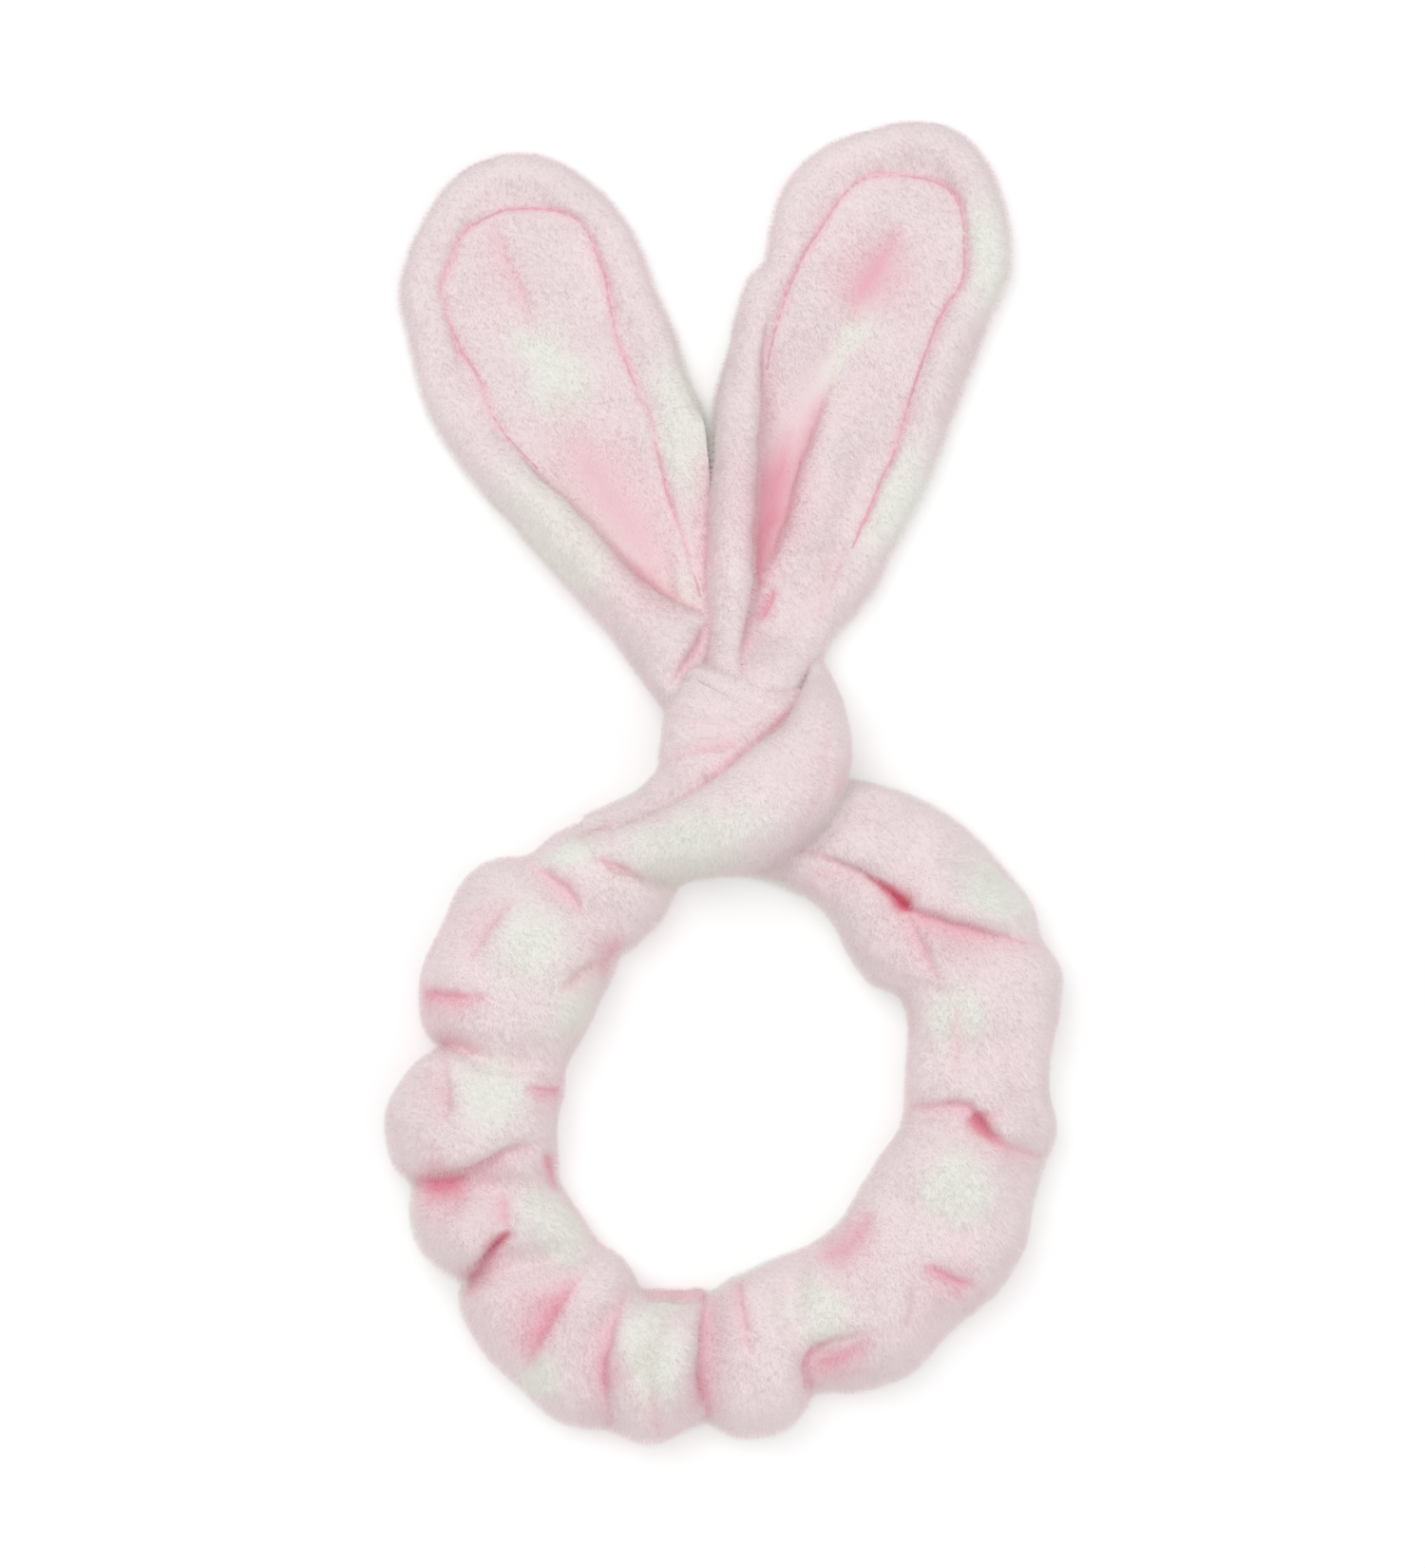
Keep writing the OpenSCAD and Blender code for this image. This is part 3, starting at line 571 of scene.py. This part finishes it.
def make_band():
    """The gathered fleece tube from the knot round the back to the knot again."""
    places = even_places(BAND, lambda r: (r[:, :2] + r[:, 2:4]) / 2, BAND_SPACING)
    r = spline(BAND, places)
    outer, inner, height = r[:, :2], r[:, 2:4], r[:, 4]
    a, across, up = arc(152, top_power=0.72, bottom_power=0.55)
    mid, half = (outer + inner) / 2, (outer - inner) / 2
    half = half * (1 - PILE_ROOM / np.linalg.norm(half, axis=1, keepdims=True))
    grid = np.zeros((len(r), len(a), 3))
    grid[..., :2] = mid[:, None] + half[:, None] * across[None, :, None]
    # The section is widest a little below its middle.
    level = 0.42 * height
    above, below = height - level, level - 0.4
    grid[..., 2] = level[:, None] + np.where(up > 0, above[:, None] * up, below[:, None] * up)
    # The back layer shows as a sliver inside the ring, at its bottom.
    sliver = smooth((inner[:, 0] + 26) / 5) * smooth((-4.5 - inner[:, 0]) / 5) * (inner[:, 1] < -40)
    low = smooth((0.25 - up) / 0.3) * smooth((-across - 0.45) / 0.4)
    inward = -half / np.linalg.norm(half, axis=1, keepdims=True)
    grid[..., :2] += inward[:, None] * (3.6 * sliver[:, None] * low)[..., None]
    along = np.concatenate([[0], np.cumsum(np.linalg.norm(np.diff(mid, axis=0), axis=1))])
    girth = BAND_GIRTH * a / (2 * np.pi)
    flow = np.stack(np.broadcast_arrays(girth[None, :], along[:, None], 0.0), -1)
    grid, dye_and_shade, pile = finish_skin(grid, flow, BAND_FOLDS, 1, BAND_CLOTH)
    # Painted shade: the sliver of the back layer, lying beneath the front layer, gets a pinkish and faintly
    # reddish tint.
    near_sliver = smooth((0.5 - up) / 0.4) * smooth((-across - 0.3) / 0.4)
    dye_and_shade[..., 1] = np.maximum(dye_and_shade[..., 1], 0.3 * sliver[:, None] * near_sliver)
    dye_and_shade[..., 2] = np.maximum(dye_and_shade[..., 2], 0.07 * sliver[:, None] * low)
    return skin("band_fleece", grid, dye_and_shade, pile)


def make_strand(name, line, folds, seed):
    """A strand of the knot: an oval section that follows the line, tilted with its slope."""
    places = even_places(line, lambda r: r[:, :3], STRAND_SPACING)
    r = spline(line, places)
    p, half, thick = r[:, :3], r[:, 3], r[:, 4]
    d = np.gradient(p, axis=0)
    d /= np.linalg.norm(d, axis=1, keepdims=True)
    side = np.cross(d, (0, 0, 1))
    side /= np.linalg.norm(side, axis=1, keepdims=True)
    up_dir = np.cross(side, d)
    a, across, up = arc(112, top_power=0.85, bottom_power=0.85)
    grid = (p[:, None] + side[:, None] * (half[:, None] * across)[..., None]
            + up_dir[:, None] * (thick[:, None] * up)[..., None])
    along = np.concatenate([[0], np.cumsum(np.linalg.norm(np.diff(p, axis=0), axis=1))])
    girth = STRAND_GIRTH * a / (2 * np.pi)
    flow = np.stack(np.broadcast_arrays(girth[None, :], along[:, None], 0.0), -1)
    return skin(name, *finish_skin(grid, flow, folds, seed))


def make_ear(side, rows, folds, lip, tucked, neck_height, seed):
    """One ear: a cupped double panel with a padded rim, gathered into a thick neck at the knot."""
    places = even_places(rows, lambda r: (r[:, :2] + r[:, 2:]) / 2, EAR_SPACING)
    # The tip's last stations are closer together, because the outline turns there.
    turn = len(rows) - 2.2
    places = np.concatenate([places[places < turn], np.linspace(turn, len(rows) - 1, 20)])
    r = spline(rows, places)
    left, right = r[:, :2], r[:, 2:]
    half_count = 92
    tau = (np.arange(half_count) + 0.5) / half_count
    q = (1 - np.cos(np.pi * tau)) / 2
    share = np.concatenate([q, q[::-1]])
    front = np.arange(2 * half_count) < half_count
    plan = left[:, None] + (right - left)[:, None] * share[None, :, None]
    fine = spline(rows, np.linspace(0, len(rows) - 1, 5 * len(rows)))
    outline = np.concatenate([fine[:, :2], fine[::-1, 2:]])
    d = nearest_on(outline, plan.reshape(-1, 2))[0].reshape(plan.shape[:2])
    extra = lip(plan.reshape(-1, 2)).reshape(d.shape)
    tuck = tucked(plan.reshape(-1, 2)).reshape(d.shape)
    # How far in the underside curves, the front rim's radius, and the heights of mid-rim and underside.
    core, roll_r, level, base = 5.9, 6.2 + 2.6 * extra, 6.0, 0.7
    shown = d + 6 * tuck
    x = shown / roll_r
    roll = (5.6 + 5.0 * extra - 1.2 * tuck) * np.sqrt(np.maximum(0, 1 - (1 - np.minimum(x, 2 - extra)) ** 2))
    swells = noise(np.concatenate([plan.reshape(-1, 2), np.zeros((d.size, 1))], 1), 30, seed)
    panel = (3.9 + swells.reshape(d.shape)) * smooth(shown / 5) - 2.6 * extra * smooth((d - 10) / 7)
    # The higher of the roll and the panel, with a soft change between them.
    both = 0.5 * (roll + panel + np.sqrt((roll - panel) ** 2 + 1.2)) - 0.55 * np.exp(-shown / 2)
    top = level + both * np.minimum(1, np.sqrt(shown / 1.5) + 0.02)
    under = np.sqrt(np.maximum(0, 1 - (1 - np.minimum(d / core, 1)) ** 2))
    groove = 1.2 * np.exp(-(((d - 11.5) / 1.2) ** 2))
    bottom = level - (level - base) * under + groove
    # Towards the knot the ear becomes an oval neck.
    neck = 1 - smooth((plan[..., 1] - 106) / 24)
    oval = np.maximum(0, 1 - np.abs(2 * share[None, :] - 1) ** 3) ** 0.42
    # The neck's end rises off the floor into the knot.
    rise = 1 - smooth((plan[..., 1] - 99.5) / 10.5)
    neck_top = 9 + (neck_height - 9) * oval * (1 - 0.15 * rise)
    neck_bottom = 9 - 8.4 * oval * (1 - 0.85 * rise)
    z = np.where(front[None, :], top + (neck_top - top) * neck, bottom + (neck_bottom - bottom) * neck)
    grid = np.concatenate([plan, z[..., None]], -1)[:, ::-1]
    along = np.concatenate([[0], np.cumsum(np.linalg.norm(np.diff((left + right) / 2, axis=0), axis=1))])
    flow = np.stack(np.broadcast_arrays(plan[:, ::-1, 0], along[:, None], z[:, ::-1]), -1)
    grid, dye_and_shade, pile = finish_skin(grid, flow, folds, seed, EAR_CLOTH)
    middle = grid[..., 1].mean(1)
    cuts = [0] + [int(np.argmin(np.abs(middle - y))) for y in (NECK_SPLIT, TIP_SPLIT)] + [len(grid) - 1]
    parts = [skin(f"{side}_ear_fleece_{part}", grid, dye_and_shade, pile, slice(a, b + 1))
             for part, a, b in zip(("neck", "lower", "tip"), cuts, cuts[1:])]
    return parts, grid


def piece_of(name, points, faces):
    """A smooth piece from points in mm and faces."""
    mesh = bpy.data.meshes.new(name)
    mesh.from_pydata([tuple(point * MM) for point in points], [], faces)
    mesh.polygons.foreach_set("use_smooth", [True] * len(mesh.polygons))
    return placed(name, mesh)


def swept(name, runs, section):
    """A rod or ribbon for each run of points in mm. The section holds offsets across and up."""
    verts, polys = [], []
    m = len(section)
    for run in runs:
        ahead = np.gradient(run, axis=0)
        across = np.stack([-ahead[:, 1], ahead[:, 0], np.zeros(len(run))], 1)
        across /= np.linalg.norm(across, axis=1, keepdims=True)
        first = len(verts)
        for centre, way in zip(run, across):
            verts += [centre + a * way + np.array([0, 0, b]) for a, b in section]
        for k in range(len(run) - 1):
            ring = first + k * m
            polys += [(ring + t, ring + (t + 1) % m, ring + m + (t + 1) % m, ring + m + t) for t in range(m)]
        polys.append(tuple(first + t for t in range(m - 1, -1, -1)))
        polys.append(tuple(first + (len(run) - 1) * m + t for t in range(m)))
    return piece_of(name, verts, polys)


def averaged(line, reach):
    """The line with each point moved to the middle of its neighbours."""
    padded_line = np.concatenate([np.repeat(line[:1], reach, 0), line, np.repeat(line[-1:], reach, 0)])
    return np.mean([padded_line[k: k + len(line)] for k in range(2 * reach + 1)], axis=0)


def rim_wires(side, rows):
    """The coated wire along the inside of the ear's rim, in two parts that meet at TIP_SPLIT."""
    fine = spline(rows, np.linspace(0, len(rows) - 1, 14 * len(rows)))
    outline = np.concatenate([fine[:, :2], fine[::-1, 2:]])
    ahead = np.gradient(outline, axis=0)
    inward = np.stack([ahead[:, 1], -ahead[:, 0]], 1) / np.linalg.norm(ahead, axis=1, keepdims=True)
    plan = averaged(outline + WIRE_INSET * inward, reach=9)
    path = np.concatenate([plan, np.full((len(plan), 1), WIRE_LEVEL)], 1)
    turns = [math.radians(30 * k) for k in range(12)]
    section = [(WIRE_RADIUS * math.cos(a), WIRE_RADIUS * math.sin(a)) for a in turns]
    middle_row = len(path) // 2
    legs = [part[(part[:, 1] >= WIRE_START) & (part[:, 1] <= TIP_SPLIT)]
            for part in (path[:middle_row], path[middle_row:])]
    bow = path[path[:, 1] >= TIP_SPLIT]
    return (swept(f"{side}_ear_wire_rim_lower", legs, section),
            swept(f"{side}_ear_wire_rim_tip", [bow], section))


def make_elastic():
    """The flat elastic that runs through the band from one joint seam round the back to the other."""
    places = np.linspace(*ELASTIC_STATIONS, 420)
    r = spline(BAND, places)
    plan = averaged((r[:, :2] + r[:, 2:4]) / 2, reach=14)
    path = np.concatenate([plan, np.full((len(plan), 1), ELASTIC_LEVEL)], 1)
    # A ribbon on edge, 14 mm high and 1.4 mm thick, with its corners taken off.
    section = [(0.7, -6.4), (0.7, 6.4), (0.4, 7), (-0.4, 7), (-0.7, 6.4), (-0.7, -6.4), (-0.4, -7), (0.4, -7)]
    return swept("woven_elastic", [path], section)


def stitch_thread(name, line, grid, low, high):
    """Sewing thread on the ear's front, between two heights. It dips into the fleece between stitches."""
    n, m = grid.shape[:2]
    i, j = np.meshgrid(np.arange(n - 1), np.arange(m // 2 - 1), indexing="ij")
    start = m // 2 if grid[n // 2, : m // 2, 2].mean() < grid[n // 2, m // 2:, 2].mean() else 0
    corner = i * m + j + start
    faces = np.stack([corner, corner + m, corner + m + 1, corner + 1], -1).reshape(-1, 4).tolist()
    front = BVHTree.FromPolygons(grid.reshape(-1, 3).tolist(), faces)
    plan = spline(line, even_places(line, lambda r: r, THREAD_SPACING))
    sway = np.concatenate([plan, np.zeros((len(plan), 1))], 1)
    plan = plan + 0.45 * np.stack([noise(sway, 7, 31), noise(sway, 7, 32)], 1)
    keep = (plan[:, 1] >= low) & (plan[:, 1] <= high)
    # Here and there the thread sinks out of sight.
    buried = np.maximum(0, noise(sway, 11, 33) + 0.1)
    verts, polys = [], []
    running = False
    for k in range(len(plan)):
        hit = front.ray_cast((*plan[k], 60.0), (0, 0, -1))[0]
        if not keep[k] or hit is None:
            running = False
            continue
        ahead = plan[min(k + 1, len(plan) - 1)] - plan[max(k - 1, 0)]
        across = np.array([-ahead[1], ahead[0], 0]) / np.linalg.norm(ahead)
        stitch = 0.45 + 0.55 * math.sin(k * THREAD_SPACING * 2 * math.pi / STITCH_LENGTH)
        centre = np.array([*plan[k], hit.z - 0.1 + 0.3 * stitch - 0.7 * buried[k]])
        ring, before = len(verts), len(verts) - THREAD_SIDES
        for turn in range(THREAD_SIDES):
            angle = turn * 2 * math.pi / THREAD_SIDES
            outward = math.cos(angle) * across + math.sin(angle) * np.array([0, 0, 1.0])
            verts.append(centre + THREAD_RADIUS * outward)
        if running:
            polys += [(before + t, before + u, ring + u, ring + t)
                      for t, u in ((t, (t + 1) % THREAD_SIDES) for t in range(THREAD_SIDES))]
        else:
            polys.append(tuple(ring + t for t in reversed(range(THREAD_SIDES))))
        running = True
        if k + 1 == len(plan) or not keep[k + 1]:
            polys.append(tuple(ring + t for t in range(THREAD_SIDES)))
    return piece_of(name, verts, polys)


# ---------------------------------------- materials

def nodes_of(name):
    """A new material, its node tree and its shader."""
    mat = bpy.data.materials.new(name)
    mat.use_nodes = True
    tree = mat.node_tree
    return mat, tree, tree.nodes["Principled BSDF"]


def link(tree, a, b):
    """A link from socket a to socket b."""
    tree.links.new(a, b)


def set_inputs(node, values):
    """Sets inputs of a node by their names."""
    for name, value in values.items():
        node.inputs[name].default_value = value


def mix(tree, factor, a, b):
    """The colour between a and b. Each input is a socket, a number or a colour."""
    node = tree.nodes.new("ShaderNodeMix")
    node.data_type = "RGBA"
    for socket, value in ((node.inputs[0], factor), (node.inputs[6], a), (node.inputs[7], b)):
        if isinstance(value, bpy.types.NodeSocket):
            link(tree, value, socket)
        elif isinstance(value, (int, float)):
            socket.default_value = value
        else:
            socket.default_value = (*value, 1)
    return node.outputs[2]


def noise_node(tree, coords, scale, detail, rough=0.5):
    """Noise from 0 to 1."""
    node = tree.nodes.new("ShaderNodeTexNoise")
    set_inputs(node, {"Scale": scale, "Detail": detail, "Roughness": rough})
    link(tree, coords, node.inputs["Vector"])
    return node.outputs["Fac"]


def ramp(tree, value, low, high):
    """The value, stretched so that low becomes 0 and high becomes 1."""
    node = tree.nodes.new("ShaderNodeMapRange")
    set_inputs(node, {"From Min": low, "From Max": high})
    link(tree, value, node.inputs["Value"])
    return node.outputs["Result"]


def stretched(tree, coords, scale):
    """The coordinates, with a scale for each axis."""
    mapping = tree.nodes.new("ShaderNodeMapping")
    set_inputs(mapping, {"Scale": scale})
    link(tree, coords, mapping.inputs["Vector"])
    return mapping.outputs["Vector"]


def add_bump(tree, bsdf, height, strength, distance):
    """Bump for the shader, from a height."""
    bump = tree.nodes.new("ShaderNodeBump")
    set_inputs(bump, {"Strength": strength, "Distance": distance})
    link(tree, height, bump.inputs["Height"])
    link(tree, bump.outputs["Normal"], bsdf.inputs["Normal"])


PINK = (0.877, 0.777, 0.788)
CREAM_COLOUR = (0.87, 0.865, 0.82)
# Painted shade: the pinkish tint of creases, and the reddish shadow of slits and deep creases.
SHADE_PINK = (0.84, 0.36, 0.46)
SHADOW_RED = (0.66, 0.10, 0.17)


def fleece_material(name, hair=False):
    """The dyed fleece with painted shade in its creases, or the strands of its pile where hair is true."""
    mat, tree, bsdf = nodes_of(name)
    coords = tree.nodes.new("ShaderNodeTexCoord").outputs["Object"]
    dye_and_shade = tree.nodes.new("ShaderNodeVertexColor")
    dye_and_shade.layer_name = "dye_and_shade"
    split = tree.nodes.new("ShaderNodeSeparateColor")
    link(tree, dye_and_shade.outputs["Color"], split.inputs["Color"])
    cloud = ramp(tree, noise_node(tree, coords, scale=45, detail=3), low=0.35, high=0.65)
    base = mix(tree, cloud, tuple(c * 0.985 for c in PINK), tuple(min(1, c * 1.03) for c in PINK))
    colour = mix(tree, split.outputs["Red"], base, CREAM_COLOUR)
    # Over it go the pink and red painted shade of the creases.
    colour = mix(tree, split.outputs["Green"], colour, SHADE_PINK)
    colour = mix(tree, split.outputs["Blue"], colour, SHADOW_RED)
    if hair:
        # The strands are paler than the weave below them.
        pale = tree.nodes.new("ShaderNodeGamma")
        set_inputs(pale, {"Gamma": 0.66})
        link(tree, colour, pale.inputs["Color"])
        colour = pale.outputs["Color"]
    link(tree, colour, bsdf.inputs["Base Color"])
    set_inputs(bsdf, {"Roughness": 0.95, "Specular IOR Level": 0.15, "Sheen Weight": 0.25,
                      "Sheen Roughness": 0.5, "Sheen Tint": (1, 0.95, 0.95, 1)})
    if not hair:
        pile = noise_node(tree, stretched(tree, coords, (1, 0.3, 1)), scale=900, detail=3, rough=0.7)
        add_bump(tree, bsdf, pile, strength=0.35, distance=0.0008)
        return mat
    # Light also passes through the strands.
    through = tree.nodes.new("ShaderNodeBsdfTranslucent")
    link(tree, colour, through.inputs["Color"])
    both = tree.nodes.new("ShaderNodeMixShader")
    set_inputs(both, {"Fac": 0.55})
    link(tree, bsdf.outputs["BSDF"], both.inputs[1])
    link(tree, through.outputs["BSDF"], both.inputs[2])
    link(tree, both.outputs["Shader"], tree.nodes["Material Output"].inputs["Surface"])
    return mat


def plain_material(name, colour, scale, strength, roughness=0.8, stretch=(1, 1, 1)):
    """One colour with a fine grain, which also gives the bump."""
    mat, tree, bsdf = nodes_of(name)
    coords = tree.nodes.new("ShaderNodeTexCoord").outputs["Object"]
    grain = noise_node(tree, stretched(tree, coords, stretch), scale, detail=2)
    link(tree, mix(tree, grain, tuple(c * 0.86 for c in colour), colour), bsdf.inputs["Base Color"])
    add_bump(tree, bsdf, grain, strength, distance=0.0004)
    set_inputs(bsdf, {"Roughness": roughness})
    return mat


# ---------------------------------------- pile

def grow_pile(obj, density, seed):
    """Short plush pile on the piece, shorter where a crease runs and longer beside it."""
    area = sum(p.area for p in obj.data.polygons) / MM**2
    modifier = obj.modifiers.new("pile", "PARTICLE_SYSTEM")
    system = modifier.particle_system
    system.seed = seed
    system.vertex_group_length = "pile"
    s = system.settings
    s.type = "HAIR"
    s.count = int(area * density)
    s.hair_step = 3
    s.render_step = 2
    s.display_step = 2
    s.emit_from = "FACE"
    s.distribution = "RAND"
    s.use_emit_random = True
    s.use_advanced_hair = True
    speed = PILE_LENGTH * MM / 4
    s.normal_factor = speed
    s.factor_random = PILE_MESS * speed
    s.object_align_factor = [part * speed for part in PILE_LEAN]
    s.length_random = 0.3
    s.root_radius = 1.0
    s.tip_radius = 0.3
    s.radius_scale = 0.07 * MM
    s.use_close_tip = True
    # The strands have the piece's second material.
    s.material = 2


# ---------------------------------------- build

band = make_band()
front_wrap = make_strand("knot_front_wrap_fleece", FRONT_WRAP, WRAP_FOLDS, seed=5)
core = make_strand("knot_core_fleece", CORE_STRAND, CORE_FOLDS, seed=7)
back_pass = make_strand("knot_back_fleece", BACK_PASS, [], seed=8)


def left_lip(plan):
    """Where the left ear's rim swells into a thick roll."""
    d = nearest_on(np.array([(-62, 158), (-48, 143), (-36, 131), (-22, 120), (-10, 115)], float), plan)[0]
    return np.exp(-((d / 15) ** 2))


def right_lip(plan):
    """Where the right ear's rim swells a little."""
    d = nearest_on(np.array([(0, 182), (0, 160), (0, 140), (-3, 118)], float), plan)[0]
    return 0.7 * np.exp(-((d / 9) ** 2))


def left_tuck(plan):
    """Where the left ear's edge lies under the right ear."""
    return smooth((plan[:, 0] + 15) / 8) * smooth((plan[:, 1] - 100) / 8) * smooth((184 - plan[:, 1]) / 14)


def no_tuck(plan):
    """The right ear lies on top, so none of it is tucked under."""
    return np.zeros(len(plan))


left_parts, left_grid = make_ear("left", LEFT_EAR, LEFT_EAR_FOLDS, left_lip, left_tuck,
                                 neck_height=19.5, seed=9)
right_parts, right_grid = make_ear("right", RIGHT_EAR, RIGHT_EAR_FOLDS, right_lip, no_tuck,
                                   neck_height=23.4, seed=10)

threads = {(side, part): stitch_thread(f"{side}_ear_thread_{part}", line, grid, low, high)
           for side, line, grid in (("left", LEFT_STITCH, left_grid), ("right", RIGHT_STITCH, right_grid))
           for part, low, high in (("lower", THREAD_START, TIP_SPLIT), ("tip", TIP_SPLIT, math.inf))}

fleece = fleece_material("fleece")
strand_fleece = fleece_material("fleece_pile", hair=True)
soft_pieces = [band, front_wrap, core, back_pass, *left_parts, *right_parts]
for piece in soft_pieces:
    piece.data.materials.append(fleece)
    piece.data.materials.append(strand_fleece)

materials = {
    "elastic": plain_material("elastic_weave", (0.90, 0.90, 0.87), 1500, 0.5, 0.85, (0.2, 1, 1)),
    "thread": plain_material("pink_thread", (0.90, 0.56, 0.65), 2500, 0.4),
    "wire": plain_material("coated_wire", (0.62, 0.63, 0.66), 800, 0.15, 0.35),
    "tape": plain_material("cloth_tape", (0.86, 0.84, 0.78), 1800, 0.4),
}
for piece in threads.values():
    piece.data.materials.append(materials["thread"])
wires = {"left": rim_wires("left", LEFT_EAR), "right": rim_wires("right", RIGHT_EAR)}
for piece in itertools.chain(*wires.values()):
    piece.data.materials.append(materials["wire"])
elastic = make_elastic()
elastic.data.materials.append(materials["elastic"])
slots = {s["node"]: s["material_slot"] for s in frame["record"]["subparts"]}
for name, node in frame["nodes"].items():
    if slots[name] in materials:
        node.data.materials.clear()
        node.data.materials.append(materials[slots[name]])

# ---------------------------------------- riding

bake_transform(band)
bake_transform(elastic)
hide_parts("left_side_elastic", "right_side_elastic", "back_elastic")
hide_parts("left_tail_cover", "right_tail_cover", "left_side_cover", "right_side_cover", "back_cover",
            "left_joint_seam", "right_joint_seam")
for piece, node in ((front_wrap, "knot_front_wrap"), (core, "knot_core_strand"),
                    (back_pass, "knot_back_pass")):
    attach(piece, "root")
    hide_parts(node)
for side, (neck, lower, tip) in (("left", left_parts), ("right", right_parts)):
    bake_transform(neck)
    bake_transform(lower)
    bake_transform(tip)
    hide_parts(f"{side}_neck_cover")
    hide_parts(f"{side}_ear_front_lower", f"{side}_ear_back_lower")
    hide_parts(f"{side}_ear_front_tip", f"{side}_ear_back_tip")
    for piece, node in ((threads[side, "lower"], "topstitch"), (wires[side][0], "wire")):
        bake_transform(piece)
        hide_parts(f"{side}_ear_{node}_lower")
    for piece, node in ((threads[side, "tip"], "topstitch"), (wires[side][1], "wire")):
        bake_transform(piece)
        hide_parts(f"{side}_ear_{node}_tip")

for k, piece in enumerate(soft_pieces):
    grow_pile(piece, PILE_DENSITY, 40 + k)

# ---------------------------------------- floor, light and camera

bpy.ops.mesh.primitive_plane_add(size=6, location=(0, 0, -0.0002))
floor = bpy.context.object
floor.name = "floor"
floor_white = plain_material("floor_white", (0.95, 0.95, 0.95), 3, 0.0, 0.9)
set_inputs(floor_white.node_tree.nodes["Principled BSDF"],
           {"Emission Color": (1, 1, 1, 1), "Emission Strength": 0.2})
floor.data.materials.append(floor_white)

world = bpy.data.worlds.new("studio")
bpy.context.scene.world = world
world.use_nodes = True
sky = world.node_tree
ambient = sky.nodes["Background"]
set_inputs(ambient, {"Color": (1, 1, 1, 1), "Strength": 0.5})
# The backdrop itself shows nearly white.
backdrop = sky.nodes.new("ShaderNodeBackground")
set_inputs(backdrop, {"Color": (1, 1, 1, 1), "Strength": 0.9})
rays = sky.nodes.new("ShaderNodeLightPath")
either = sky.nodes.new("ShaderNodeMixShader")
link(sky, rays.outputs["Is Camera Ray"], either.inputs["Fac"])
link(sky, ambient.outputs["Background"], either.inputs[1])
link(sky, backdrop.outputs["Background"], either.inputs[2])
link(sky, either.outputs["Shader"], sky.nodes["World Output"].inputs["Surface"])


def area_light(name, location, target, size, power):
    """A square soft light in metres and watts, turned to the target."""
    data = bpy.data.lights.new(name, "AREA")
    data.size = size
    data.energy = power
    light = placed(name, data)
    light.location = location
    light.rotation_euler = (Vector(target) - Vector(location)).to_track_quat("-Z", "Y").to_euler()


middle = (CAD_BOX[0] + CAD_BOX[1]) / 2
area_light("key", (-0.5, 0.6, 1.9), middle, size=1.4, power=15.6)
area_light("fill", (0.7, -0.3, 1.7), middle, size=1.6, power=7.6)

# The camera's height in metres. In mm: the middle and the long side of its view, at MID_HEIGHT.
CAMERA_HEIGHT = 1.8
FRAME_CENTRE = (-5.1, 82.0)
FRAME_LONG_SIDE = 419.1
MID_HEIGHT = 15
camera = placed("camera", bpy.data.cameras.new("camera"))
camera.location = (FRAME_CENTRE[0] * MM, FRAME_CENTRE[1] * MM, CAMERA_HEIGHT)
camera.data.sensor_width = 36
camera.data.lens = 36 * (CAMERA_HEIGHT - MID_HEIGHT * MM) / (FRAME_LONG_SIDE * MM)
bpy.context.scene.camera = camera
bpy.context.scene.view_settings.view_transform = "Standard"
